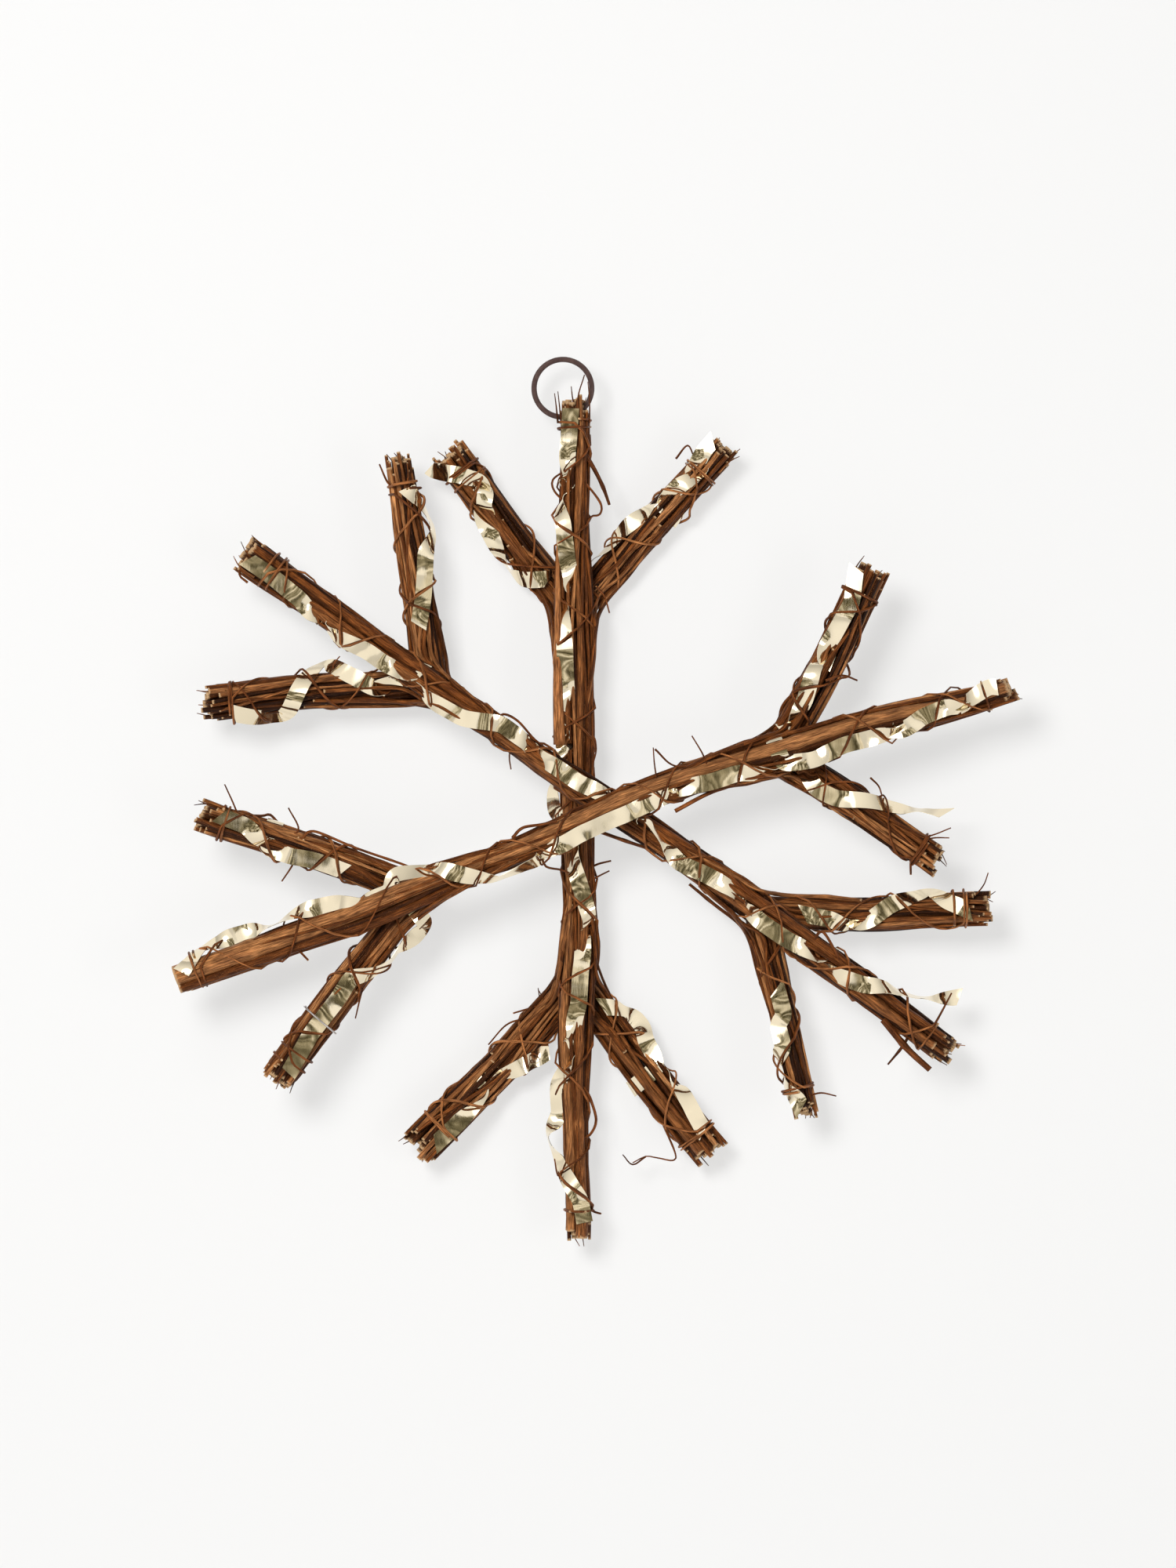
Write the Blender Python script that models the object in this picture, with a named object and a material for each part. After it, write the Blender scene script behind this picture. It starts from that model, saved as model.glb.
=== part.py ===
"""Rattan snowflake ornament: three long bundles of vine twigs crossed at the middle, twelve short
bundles bound on behind them, gold film ribbon and thin vine wound round each, and an iron ring.

Metres, +Z up. The flake lies in the XZ plane, its front faces -Y and its wall side +Y. The origin
is the inside top of the ring, where the ornament hangs on a nail.
"""

import math
import random

import bmesh
import bpy
import numpy as np

CLEARANCE = 0.0003

# Iron ring at the top
RING_OUTER_DIAMETER = 0.038
RING_WIRE = 0.0033
RING_SEGMENTS = 24
RING_SIDES = 6
TWIGS_BELOW_NAIL = 0.0274

# Reach of the six arms, from the middle of the flake to their cut ends
REACH_TOP = 0.235
REACH_BOTTOM = 0.260
REACH_UPPER_LEFT = 0.244
REACH_LOWER_RIGHT = 0.267
REACH_LOWER_LEFT = 0.2605
REACH_UPPER_RIGHT = 0.263

# Distance of each fork from the middle of the flake
FORK_TOP = 0.112
FORK_BOTTOM = 0.111
FORK_UPPER_LEFT = 0.110
FORK_LOWER_RIGHT = 0.130
FORK_LOWER_LEFT = 0.107
FORK_UPPER_RIGHT = 0.123

# Twig bundles: thickness from front to back, where they are free and where they are squeezed
BUNDLE_DEPTH = 0.0205
CROSSING_DEPTH = 0.0150
FORK_DEPTH = 0.0180
BRANCH_ROOT_DEPTH = 0.0130
GROOVE_SHARE = 0.17
RAGGED_END = 0.0055
ARM_STATIONS = 17
BRANCH_STATIONS = 6
CROSSING_SQUEEZE_LENGTH = 0.036
FORK_SQUEEZE_LENGTH = 0.030
SQUEEZE_EASE_LENGTH = 0.060

# Ribbon, binding vine and staple
RIBBON_WIDTH = 0.010
RIBBON_THICKNESS = 0.0004
RIBBON_LIFT = 0.0015
VINE_DIAMETER = 0.0014
TURN_STEPS = 10
LINGER_IN_FRONT = 0.5
WRAP_END_MARGIN = 0.006
STAPLE_WIRE = 0.0012
STAPLE_PLACE = 0.040
STAPLE_SLANT = 0.001

# Room for the vine between crossing arms, and for the flat ribbon between an arm and its branches
VINE_ROOM = VINE_DIAMETER + 4 * CLEARANCE
RIBBON_STAND_OFF = (RIBBON_WIDTH / 2) ** 2 / BUNDLE_DEPTH
RIBBON_ROOM = RIBBON_LIFT + RIBBON_THICKNESS + RIBBON_STAND_OFF + 3 * CLEARANCE
LAYER_STEP = CROSSING_DEPTH + VINE_ROOM
BRANCH_STEP_BACK = (FORK_DEPTH + BRANCH_ROOT_DEPTH) / 2 + RIBBON_ROOM
BRANCH_TIP_STEP_BACK = 0.006

FRONT = np.array((0.0, -1.0, 0.0))
RING_MIDDLE_Z = RING_WIRE - RING_OUTER_DIAMETER / 2
FLAKE_MIDDLE = np.array((0.008, 0.0, -TWIGS_BELOW_NAIL - REACH_TOP))

# One arm: the way its first end points from the middle in degrees, its reach to both ends, how far
# its line passes beside the middle, its layer from the wall, how far its ends lean back, its bow
# and its width along it from the first end, the shares of its length where the ribbon is in front,
# the hand of the winding, and the weights of the twigs round it
ARMS = {
    "vertical": {
        "turn": 90.3,
        "reach": (REACH_TOP, REACH_BOTTOM),
        "aside": 0.0,
        "layer": 0,
        "lean": 0.0,
        "bow": (0.0, -0.0010, 0.0, 0.0016, -0.0018, 0.0),
        "width": (0.0193, 0.0200, 0.0245, 0.0235, 0.0212, 0.0212, 0.0225, 0.0160, 0.0165),
        "runs": (0.035, 0.16, 0.30, 0.41, 0.585, 0.70, 0.83, 0.96),
        "hand": 1,
        "weights": (1.0, 1.3, 0.9, 1.1, 1.0, 1.2, 0.9, 1.4),
        "forks": (FORK_TOP, FORK_BOTTOM),
    },
    "falling": {
        "turn": 144.7,
        "reach": (REACH_UPPER_LEFT, REACH_LOWER_RIGHT),
        "aside": 0.0056,
        "layer": 1,
        "lean": 0.005,
        "bow": (0.0, -0.0008, 0.0010, 0.0038, 0.0020, 0.0),
        "width": (0.0240, 0.0205, 0.0184, 0.0175, 0.0189, 0.0205, 0.0210, 0.0200, 0.0195),
        "runs": (0.04, 0.165, 0.32, 0.47, 0.635, 0.765, 0.895),
        "hand": 1,
        "weights": (1.2, 1.0, 1.3, 1.0, 0.9, 1.1, 1.0, 1.0),
        "forks": (FORK_UPPER_LEFT, FORK_LOWER_RIGHT),
    },
    "rising": {
        "turn": 199.2,
        "reach": (REACH_LOWER_LEFT, REACH_UPPER_RIGHT),
        "aside": -0.0237,
        "layer": 2,
        "lean": 0.008,
        "bow": (0.0, 0.0, 0.0050, 0.0125, 0.0075, 0.0),
        "width": (0.0189, 0.0208, 0.0212, 0.0180, 0.0200, 0.0222, 0.0230, 0.0215, 0.0175),
        "runs": (0.03, 0.18, 0.345, 0.52, 0.665, 0.80, 0.92),
        "hand": -1,
        "weights": (2.1, 0.9, 0.8, 1.0, 0.9, 1.0, 0.8, 1.1),
        "forks": (FORK_LOWER_LEFT, FORK_UPPER_RIGHT),
    },
}

# One branch: its arm, which half of the arm (0 first, 1 second), the way it points in degrees, its
# length from the fork, its bow, its width from the cut end inwards, the shares of its length where
# the ribbon is in front, and the hand of the winding
BRANCHES = {
    "top_left": ("vertical", 0, 127.9, 0.119, -0.0014, (0.0225, 0.0235, 0.0210), (0.15, 0.50, 0.86), -1),
    "top_right": ("vertical", 0, 47.6, 0.131, -0.0012, (0.0200, 0.0212, 0.0200), (0.10, 0.38, 0.70), 1),
    "bottom_left": ("vertical", 1, 226.2, 0.135, -0.0014, (0.0250, 0.0240, 0.0220), (0.25, 0.70), 1),
    "bottom_right": ("vertical", 1, 307.9, 0.126, 0.0012, (0.0245, 0.0245, 0.0220), (0.22, 0.72), -1),
    "upper_left_up": ("falling", 0, 98.3, 0.134, -0.0004, (0.0165, 0.0205, 0.0225), (0.20, 0.64), 1),
    "upper_left_side": ("falling", 0, 184.6, 0.133, 0.0024, (0.0225, 0.0228, 0.0210), (0.20, 0.52, 0.86), 1),
    "lower_right_side": ("falling", 1, 1.2, 0.133, 0.0030, (0.0225, 0.0215, 0.0200), (0.25, 0.72), -1),
    "lower_right_down": ("falling", 1, 282.7, 0.120, 0.0003, (0.0155, 0.0180, 0.0200), (0.15, 0.60), 1),
    "lower_left_up": ("rising", 0, 161.0, 0.134, 0.0020, (0.0205, 0.0212, 0.0200), (0.17, 0.58), -1),
    "lower_left_down": ("rising", 0, 232.9, 0.137, 0.0010, (0.0215, 0.0220, 0.0205), (0.22, 0.56, 0.86), 1),
    "upper_right_up": ("rising", 1, 63.1, 0.120, 0.0016, (0.0225, 0.0235, 0.0215), (0.20, 0.70), 1),
    "upper_right_down": ("rising", 1, 326.0, 0.111, -0.0012, (0.0200, 0.0215, 0.0205), (0.30, 0.76), -1),
}
BRANCH_WEIGHTS = (1.0, 1.2, 0.9, 1.1, 1.0, 0.9, 1.2, 1.0)
STAPLED_BRANCH = "lower_left_down"


def clear_scene():
    for thing in list(bpy.data.objects):
        bpy.data.objects.remove(thing, do_unlink=True)


def make_material(name, colour, roughness, metallic=0.0):
    material = bpy.data.materials.new(name)
    material.use_nodes = True
    shader = material.node_tree.nodes["Principled BSDF"]
    shader.inputs["Base Color"].default_value = (*colour, 1.0)
    shader.inputs["Roughness"].default_value = roughness
    shader.inputs["Metallic"].default_value = metallic
    material.diffuse_color = (*colour, 1.0)
    return material


def unit(vector):
    return vector / np.linalg.norm(vector)


def heading(degrees):
    """Unit vector in the plane of the flake, turned anticlockwise from +X as seen from the front."""
    return np.array((math.cos(math.radians(degrees)), 0.0, math.sin(math.radians(degrees))))


def eased(values, share):
    """Reads a list of values spread evenly over 0 to 1, with smooth steps from one to the next."""
    place = min(max(share, 0.0), 1.0) * (len(values) - 1)
    low = min(int(place), len(values) - 2)
    step = place - low
    step = step * step * (3 - 2 * step)
    return values[low] * (1 - step) + values[low + 1] * step


def smooth_step(step):
    step = min(max(step, 0.0), 1.0)
    return step * step * (3 - 2 * step)


def squeezed(free, tight, distance, length):
    """A depth that is tight within a length of a place and eases to its free value beyond it."""
    step = smooth_step((distance - length) / SQUEEZE_EASE_LENGTH)
    return tight * (1 - step) + free * step


class Bundle:
    """A tapering bundle of twigs along a slightly bowed line, with an elliptical envelope.

    Its line, width and depth are straight from one station to the next, as the solid's faces are,
    so what is wound round it keeps its clearance.
    """

    def __init__(self, first, last, bow, width, stations, seed):
        self.first = first
        self.last = last
        self.bow = bow
        self.width = width
        self.stations = stations
        self.seed = seed
        self.length = float(np.linalg.norm(last - first))
        self.along = (last - first) / self.length
        self.side = np.cross(FRONT, self.along)

    def depth_at(self, share):
        return BUNDLE_DEPTH

    def set_back(self, share):
        return 0.0

    def centre_at(self, share):
        point = self.first + self.along * (self.length * share)
        return point + self.side * eased(self.bow, share) - FRONT * self.set_back(share)

    def width_at(self, share):
        return eased(self.width, share)

    def between_stations(self, value_at, share):
        place = share * (self.stations - 1)
        low = min(max(int(place), 0), self.stations - 2)
        step = place - low
        before = value_at(low / (self.stations - 1))
        after = value_at((low + 1) / (self.stations - 1))
        return before * (1 - step) + after * step

    def centre(self, share):
        return self.between_stations(self.centre_at, share)

    def half_sizes(self, share):
        width = self.between_stations(self.width_at, share)
        return width / 2, self.between_stations(self.depth_at, share) / 2

    def surface(self, share, phase, lift, swell=1.0):
        """Point of the envelope; phase 0 faces the front and grows towards the side vector."""
        half_width, half_depth = self.half_sizes(share)
        sideways = self.side * ((half_width * swell + lift) * math.sin(phase))
        forwards = FRONT * ((half_depth * swell + lift) * math.cos(phase))
        return self.centre(share) + sideways + forwards

    def outward(self, share, phase):
        half_width, half_depth = self.half_sizes(share)
        return unit(self.side * (math.sin(phase) / half_width) + FRONT * (math.cos(phase) / half_depth))


class Arm(Bundle):
    def __init__(self, name, seed):
        row = ARMS[name]
        way = heading(row["turn"])
        beside = np.cross(FRONT, -way) * row["aside"]
        middle = FLAKE_MIDDLE + beside
        first = middle + way * row["reach"][0]
        last = middle - way * row["reach"][1]
        super().__init__(first, last, row["bow"], row["width"], ARM_STATIONS, seed)
        self.row = row
        self.middle_share = row["reach"][0] / self.length

    def from_middle(self, share):
        return (self.middle_share - share) * self.length

    def share_of_fork(self, half):
        sign = 1 if half == 0 else -1
        return self.middle_share - sign * self.row["forks"][half] / self.length

    def depth_at(self, share):
        distance = abs(self.from_middle(share))
        depth = squeezed(BUNDLE_DEPTH, CROSSING_DEPTH, distance, CROSSING_SQUEEZE_LENGTH)
        for half in (0, 1):
            off_fork = abs(share - self.share_of_fork(half)) * self.length
            depth = min(depth, squeezed(BUNDLE_DEPTH, FORK_DEPTH, off_fork, FORK_SQUEEZE_LENGTH))
        return depth

    def set_back(self, share):
        distance = self.from_middle(share)
        free_length = self.row["reach"][0 if distance > 0 else 1] - CROSSING_SQUEEZE_LENGTH
        leaning = smooth_step((abs(distance) - CROSSING_SQUEEZE_LENGTH) / free_length)
        return self.row["lean"] * leaning - self.row["layer"] * LAYER_STEP


class Branch(Bundle):
    def __init__(self, name, arms, seed):
        arm_name, half, turn, reach, bow, width, runs, hand = BRANCHES[name]
        arm = arms[arm_name]
        self.runs = runs
        self.hand = hand
        fork_share = arm.share_of_fork(half)
        self.fork_back = arm.set_back(fork_share)
        fork = arm.centre(fork_share) + FRONT * self.fork_back
        way = heading(turn)
        # The root is mitred along the arm, so that the two branches of a fork meet behind it
        self.mitre = unit(way - arm.along * np.dot(way, arm.along))
        first = fork + way * reach
        last = fork + way * (CLEARANCE / np.dot(way, self.mitre))
        super().__init__(first, last, (0.0, bow, 0.0), width, BRANCH_STATIONS, seed)

    def mitred(self, point):
        """Slides a point of the last station along the branch, onto the plane of the mitre."""
        off_plane = np.dot(point - self.last, self.mitre)
        return point - self.along * (off_plane / np.dot(self.along, self.mitre))

    def depth_at(self, share):
        return squeezed(BUNDLE_DEPTH, BRANCH_ROOT_DEPTH, (1 - share) * self.length, 0.0)

    def set_back(self, share):
        """Stiff twigs: the branch lies straight, from behind its arm at the root to its cut end."""
        return self.fork_back + BRANCH_TIP_STEP_BACK + (BRANCH_STEP_BACK - BRANCH_TIP_STEP_BACK) * share


def add_object(name, bm, material, sharp=40.0):
    bmesh.ops.recalc_face_normals(bm, faces=bm.faces)
    if bm.calc_volume(signed=True) < 0:
        bmesh.ops.reverse_faces(bm, faces=bm.faces)
    mesh = bpy.data.meshes.new(name)
    bm.to_mesh(mesh)
    bm.free()
    mesh.materials.append(material)
    mesh.shade_smooth()
    mesh.set_sharp_from_angle(angle=math.radians(sharp))
    thing = bpy.data.objects.new(name, mesh)
    bpy.context.scene.collection.objects.link(thing)
    return thing


def loft(bm, rings):
    """Triangles between each ring of points and the next; returns the rings as vertices.

    The first half of a ring is split along one diagonal and the second half along the other, so
    that the two faces of a twisted strip stay parallel.
    """
    rows = [[bm.verts.new(point) for point in ring] for ring in rings]
    for row, after in zip(rows, rows[1:]):
        for i in range(len(row)):
            j = (i + 1) % len(row)
            if i < len(row) // 2:
                bm.faces.new((row[i], row[j], after[j]))
                bm.faces.new((row[i], after[j], after[i]))
            else:
                bm.faces.new((row[i], row[j], after[i]))
                bm.faces.new((row[j], after[j], after[i]))
    return rows


def ragged_cap(bm, row, bundle, share, outward, chance):
    """Closes a cut end: an inner ring of twig ends of uneven length round one in the middle."""
    centre = bundle.centre(share)
    inner = []
    for i in range(0, len(row), 2):
        rim = np.array(row[i].co)
        reach = chance.uniform(-0.6, 0.8) * RAGGED_END
        inside = centre + (rim - centre) * 0.45
        inside -= outward * np.dot(inside - centre, outward)
        inner.append(bm.verts.new(inside + outward * reach))
    for k, vertex in enumerate(inner):
        after = inner[(k + 1) % len(inner)]
        crest, groove, following = row[2 * k], row[2 * k + 1], row[(2 * k + 2) % len(row)]
        bm.faces.new((vertex, crest, groove))
        bm.faces.new((vertex, groove, after))
        bm.faces.new((after, groove, following))
    tip = bm.verts.new(centre + outward * (chance.uniform(-0.3, 0.6) * RAGGED_END))
    for k, vertex in enumerate(inner):
        bm.faces.new((tip, vertex, inner[(k + 1) % len(inner)]))


def make_bundle(name, bundle, weights, twist, material):
    """One closed solid with a crest for each outer twig and a groove between neighbours.

    An arm has two ragged cut ends. A branch has one, and its root is mitred flat.
    """
    is_branch = isinstance(bundle, Branch)
    chance = random.Random(bundle.seed)
    edges = np.cumsum((0.0, *weights)) / sum(weights) * 2 * math.pi
    phases = []
    for low, high in zip(edges, edges[1:]):
        phases += [(low + high) / 2, high]
    rings = []
    for i in range(bundle.stations):
        share = i / (bundle.stations - 1)
        at_root = is_branch and i == bundle.stations - 1
        at_cut_end = i in (0, bundle.stations - 1) and not at_root
        way = bundle.along * (-1 if i == 0 else 1)
        ring = []
        for k, phase in enumerate(phases):
            swell = 1.0 if k % 2 == 0 else 1.0 - GROOVE_SHARE
            point = bundle.surface(share, phase + twist * share, 0.0, swell)
            if at_root:
                point = bundle.mitred(point)
            elif at_cut_end:
                point = point + way * (RAGGED_END * (chance.uniform(-0.4, 0.7) if k % 2 == 0 else -0.5))
            ring.append(point)
        rings.append(ring)
    bm = bmesh.new()
    rows = loft(bm, rings)
    ragged_cap(bm, rows[0], bundle, 0.0, -bundle.along, chance)
    if is_branch:
        bm.faces.new(rows[-1])
    else:
        ragged_cap(bm, rows[-1], bundle, 1.0, bundle.along, chance)
    return add_object(name, bm, material)


def winding(runs, hand, start, finish):
    """(share, phase) steps of a winding that lingers in front at each run and crosses fast behind."""

    def share_at(turns):
        low = min(max(int(math.floor(turns)), 0), len(runs) - 2)
        return runs[low] + (turns - low) * (runs[low + 1] - runs[low])

    steps = []
    fine = 20 * TURN_STEPS
    for i in range(-2 * fine, fine * (len(runs) + 2)):
        turns = i / fine
        share = share_at(turns)
        if share < start or share > finish:
            continue
        phase = 2 * math.pi * turns - LINGER_IN_FRONT * math.sin(2 * math.pi * turns)
        if not steps or phase - steps[-1][1] >= 2 * math.pi / TURN_STEPS:
            steps.append((share, phase))
    return [(share, hand * phase) for share, phase in steps]


def path_on(bundle, steps, lift, offset=0.0):
    swell = 1 / math.cos(math.pi / TURN_STEPS * 1.1)
    return [bundle.surface(share, phase + offset, lift, swell) for share, phase in steps]


def tangents(points):
    ends = [points[0], *points, points[-1]]
    return [unit(ends[i + 2] - ends[i]) for i in range(len(points))]


def make_ribbon(name, bundle, runs, hand, start, finish, material):
    steps = winding(runs, hand, start, finish)
    points = path_on(bundle, steps, RIBBON_LIFT)
    rings = []
    for (share, phase), point, way in zip(steps, points, tangents(points)):
        out = bundle.outward(share, phase)
        across = unit(np.cross(way, out)) * (RIBBON_WIDTH / 2)
        thick = out * RIBBON_THICKNESS
        rings.append([point - across, point + across, point + across + thick, point - across + thick])
    bm = bmesh.new()
    rows = loft(bm, rings)
    bm.faces.new(rows[0])
    bm.faces.new(rows[-1])
    return add_object(name, bm, material, 60.0)


def tube_rings(points, diameter, sides, outs):
    rings = []
    for point, way, out in zip(points, tangents(points), outs):
        across = unit(np.cross(way, out))
        up = np.cross(across, way)
        ring = []
        for k in range(sides):
            angle = 2 * math.pi * k / sides
            ring.append(point + (across * math.cos(angle) + up * math.sin(angle)) * (diameter / 2))
        rings.append(ring)
    return rings


def make_tube(name, points, diameter, sides, outs, material):
    bm = bmesh.new()
    rows = loft(bm, tube_rings(points, diameter, sides, outs))
    bm.faces.new(rows[0])
    bm.faces.new(rows[-1])
    return add_object(name, bm, material, 70.0)


def make_vine(name, bundle, runs, hand, start, finish, material):
    """Thin vine wound at the ribbon's pitch, always on the other side of the bundle from it."""
    steps = winding(runs, hand, start, finish)
    lift = CLEARANCE * 2 + VINE_DIAMETER / 2
    points = path_on(bundle, steps, lift, math.pi)
    outs = [bundle.outward(share, phase + math.pi) for share, phase in steps]
    return make_tube(name, points, VINE_DIAMETER, 3, outs, material)


def make_ring_torus(name, wire):
    bpy.ops.mesh.primitive_torus_add(
        major_radius=(RING_OUTER_DIAMETER - RING_WIRE) / 2,
        minor_radius=wire / 2,
        major_segments=RING_SEGMENTS,
        minor_segments=RING_SIDES,
        location=(0.0, 0.0, RING_MIDDLE_Z),
        rotation=(math.pi / 2, 0.0, 0.0),
    )
    ring = bpy.context.object
    ring.name = name
    return ring


def cut_ring_tunnel(arm):
    """The ring is threaded between the twigs at the top of the upright arm."""
    cutter = make_ring_torus("ring_tunnel_cutter", RING_WIRE + 2.6 * CLEARANCE)
    cutter.hide_render = True
    cutter.display_type = "WIRE"
    tunnel = arm.modifiers.new("ring tunnel", "BOOLEAN")
    tunnel.operation = "DIFFERENCE"
    tunnel.solver = "EXACT"
    tunnel.object = cutter


def make_staple(bundle, material):
    """A wire staple bent over the ribbon, with its two legs down the sides of the branch."""
    share = STAPLE_PLACE / bundle.length
    slant = STAPLE_SLANT / bundle.length
    lift = 8 * CLEARANCE + RIBBON_THICKNESS + STAPLE_WIRE / 2
    steps = [(share + slant * k / 3, math.radians(24 * k)) for k in range(-3, 4)]
    points = path_on(bundle, steps, lift)
    outs = [bundle.outward(place, phase) for place, phase in steps]
    return make_tube("wire_staple", points, STAPLE_WIRE, 4, outs, material)


def wrap_limits(bundle):
    margin = WRAP_END_MARGIN / bundle.length
    return margin, 1 - margin


def main():
    clear_scene()
    bark = make_material("twig_bark", (0.150, 0.065, 0.030), 0.75)
    vine = make_material("binding_vine", (0.110, 0.045, 0.022), 0.7)
    gold = make_material("gold_ribbon", (0.83, 0.74, 0.47), 0.18, 1.0)
    iron = make_material("ring_iron", (0.075, 0.045, 0.040), 0.45, 0.6)
    steel = make_material("staple_steel", (0.60, 0.58, 0.55), 0.35, 1.0)

    arms = {name: Arm(name, seed) for seed, name in enumerate(ARMS, 11)}
    for name, arm in arms.items():
        body = make_bundle(f"arm_{name}", arm, arm.row["weights"], 0.7, bark)
        if name == "vertical":
            cut_ring_tunnel(body)
        start, finish = wrap_limits(arm)
        make_ribbon(f"gold_ribbon_{name}", arm, arm.row["runs"], arm.row["hand"], start, finish, gold)
        squeeze = (CROSSING_SQUEEZE_LENGTH + WRAP_END_MARGIN) / arm.length
        halves = ((start, arm.middle_share - squeeze), (arm.middle_share + squeeze, finish))
        for half, (low, high) in zip(("first", "second"), halves):
            make_vine(f"binding_vine_{name}_{half}", arm, arm.row["runs"], arm.row["hand"], low, high, vine)

    branches = {name: Branch(name, arms, seed) for seed, name in enumerate(BRANCHES, 31)}
    for name, branch in branches.items():
        make_bundle(f"branch_{name}", branch, BRANCH_WEIGHTS, 0.4, bark)
        start = wrap_limits(branch)[0]
        clear_of_arm = 1 - FORK_SQUEEZE_LENGTH / branch.length
        make_ribbon(f"gold_ribbon_{name}", branch, branch.runs, branch.hand, start, clear_of_arm, gold)
        make_vine(f"binding_vine_{name}", branch, branch.runs, branch.hand, start, clear_of_arm, vine)
    make_staple(branches[STAPLED_BRANCH], steel)

    ring = make_ring_torus("hanging_ring", RING_WIRE)
    ring.data.materials.append(iron)
    ring.data.shade_smooth()


main()
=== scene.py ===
# %% [markdown]
# # A rattan snowflake, dressed for its picture
#
# The ornament is a six-armed flake, half a metre across. Three long bundles of reddish vine twigs
# cross at the middle, twelve short bundles are bound on behind them, and every bundle is wound
# with gold film ribbon and thin vine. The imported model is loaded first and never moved. Each cell
# after that makes one kind of piece in the place that the model keeps for it.

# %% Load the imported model
import math
import random

import bpy
import numpy as np
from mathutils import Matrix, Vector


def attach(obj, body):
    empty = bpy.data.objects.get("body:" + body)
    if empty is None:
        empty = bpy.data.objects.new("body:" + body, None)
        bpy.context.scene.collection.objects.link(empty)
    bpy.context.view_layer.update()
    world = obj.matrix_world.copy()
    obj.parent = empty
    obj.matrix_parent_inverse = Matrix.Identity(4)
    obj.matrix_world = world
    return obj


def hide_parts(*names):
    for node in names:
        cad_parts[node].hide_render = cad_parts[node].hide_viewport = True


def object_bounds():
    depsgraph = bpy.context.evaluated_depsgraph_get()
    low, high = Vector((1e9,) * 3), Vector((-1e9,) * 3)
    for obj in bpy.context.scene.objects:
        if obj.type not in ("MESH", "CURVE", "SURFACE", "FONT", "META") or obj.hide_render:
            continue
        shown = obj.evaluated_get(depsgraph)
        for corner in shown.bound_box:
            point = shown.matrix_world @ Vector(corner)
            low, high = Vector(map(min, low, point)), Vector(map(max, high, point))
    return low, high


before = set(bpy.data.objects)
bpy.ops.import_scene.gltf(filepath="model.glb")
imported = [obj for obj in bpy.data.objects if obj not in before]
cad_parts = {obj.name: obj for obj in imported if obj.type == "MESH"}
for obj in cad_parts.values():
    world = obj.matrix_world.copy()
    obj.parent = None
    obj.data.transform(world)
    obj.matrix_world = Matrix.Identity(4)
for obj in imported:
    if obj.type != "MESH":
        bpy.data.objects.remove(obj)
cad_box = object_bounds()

BODY = "root"
print("model box", [[round(value, 3) for value in corner] for corner in cad_box])

# %% [markdown]
# ## The camera
#
# The flake hangs flat against a wall and is seen square on. Its outline has hardly any
# perspective, so the camera stands far off with a long lens. The lens follows from the height of
# wall that the picture takes in, which keeps framing and distance apart.

# %% Camera
PICTURE_HEIGHT = 0.9434
PICTURE_MIDDLE_X = 0.0151
PICTURE_MIDDLE_Z = -0.2538
CAMERA_DISTANCE = 4.5
SENSOR_HEIGHT = 36.0

bpy.ops.object.select_all(action="DESELECT")
bpy.ops.object.camera_add(
    location=(PICTURE_MIDDLE_X, -CAMERA_DISTANCE, PICTURE_MIDDLE_Z), rotation=(math.pi / 2, 0.0, 0.0)
)
camera = bpy.context.object
camera.data.sensor_fit = "VERTICAL"
camera.data.sensor_height = SENSOR_HEIGHT
camera.data.lens = SENSOR_HEIGHT * CAMERA_DISTANCE / PICTURE_HEIGHT
bpy.context.scene.camera = camera
print("lens", round(camera.data.lens, 1), "mm")

# %% [markdown]
# ## Finishes out of few parts
#
# Every finish here is made of the same few nodes: noise, a colour ramp, a mix, some arithmetic and
# a bump. Each has a short function that adds the node to a tree, feeds it and returns its output,
# so that a finish reads from top to bottom like a recipe.

# %% Nodes in short
def new_material(name, values):
    """A material, its node tree and its Principled shader with the given values."""
    material = bpy.data.materials.new(name)
    material.use_nodes = True
    shader = material.node_tree.nodes["Principled BSDF"]
    for key, value in values.items():
        shader.inputs[key].default_value = value
    return material, material.node_tree, shader


def feed(tree, socket, value):
    """Links the socket to another node's output, or sets a constant on it."""
    if isinstance(value, bpy.types.NodeSocket):
        tree.links.new(value, socket)
    else:
        socket.default_value = value


def object_place(tree):
    return tree.nodes.new("ShaderNodeTexCoord").outputs["Object"]


def attribute(tree, name, output="Fac"):
    node = tree.nodes.new("ShaderNodeAttribute")
    node.attribute_name = name
    return node.outputs[output]


def combined(tree, operation, first, second):
    """Arithmetic on two values."""
    node = tree.nodes.new("ShaderNodeMath")
    node.operation = operation
    feed(tree, node.inputs[0], first)
    feed(tree, node.inputs[1], second)
    return node.outputs[0]


def remapped(tree, source, low, high, from_low=0.0, from_high=1.0, easing="LINEAR"):
    """The source, with from_low turned into low and from_high into high."""
    node = tree.nodes.new("ShaderNodeMapRange")
    node.interpolation_type = easing
    for key, value in (("Value", source), ("From Min", from_low), ("From Max", from_high),
                       ("To Min", low), ("To Max", high)):
        feed(tree, node.inputs[key], value)
    return node.outputs["Result"]


def mix_colour(tree, factor, first, second, blend="MIX"):
    mix = tree.nodes.new("ShaderNodeMix")
    mix.data_type = "RGBA"
    mix.blend_type = blend
    for key, value in (("Factor", factor), ("A", first), ("B", second)):
        feed(tree, mix.inputs[key], value)
    return mix.outputs["Result"]


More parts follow.
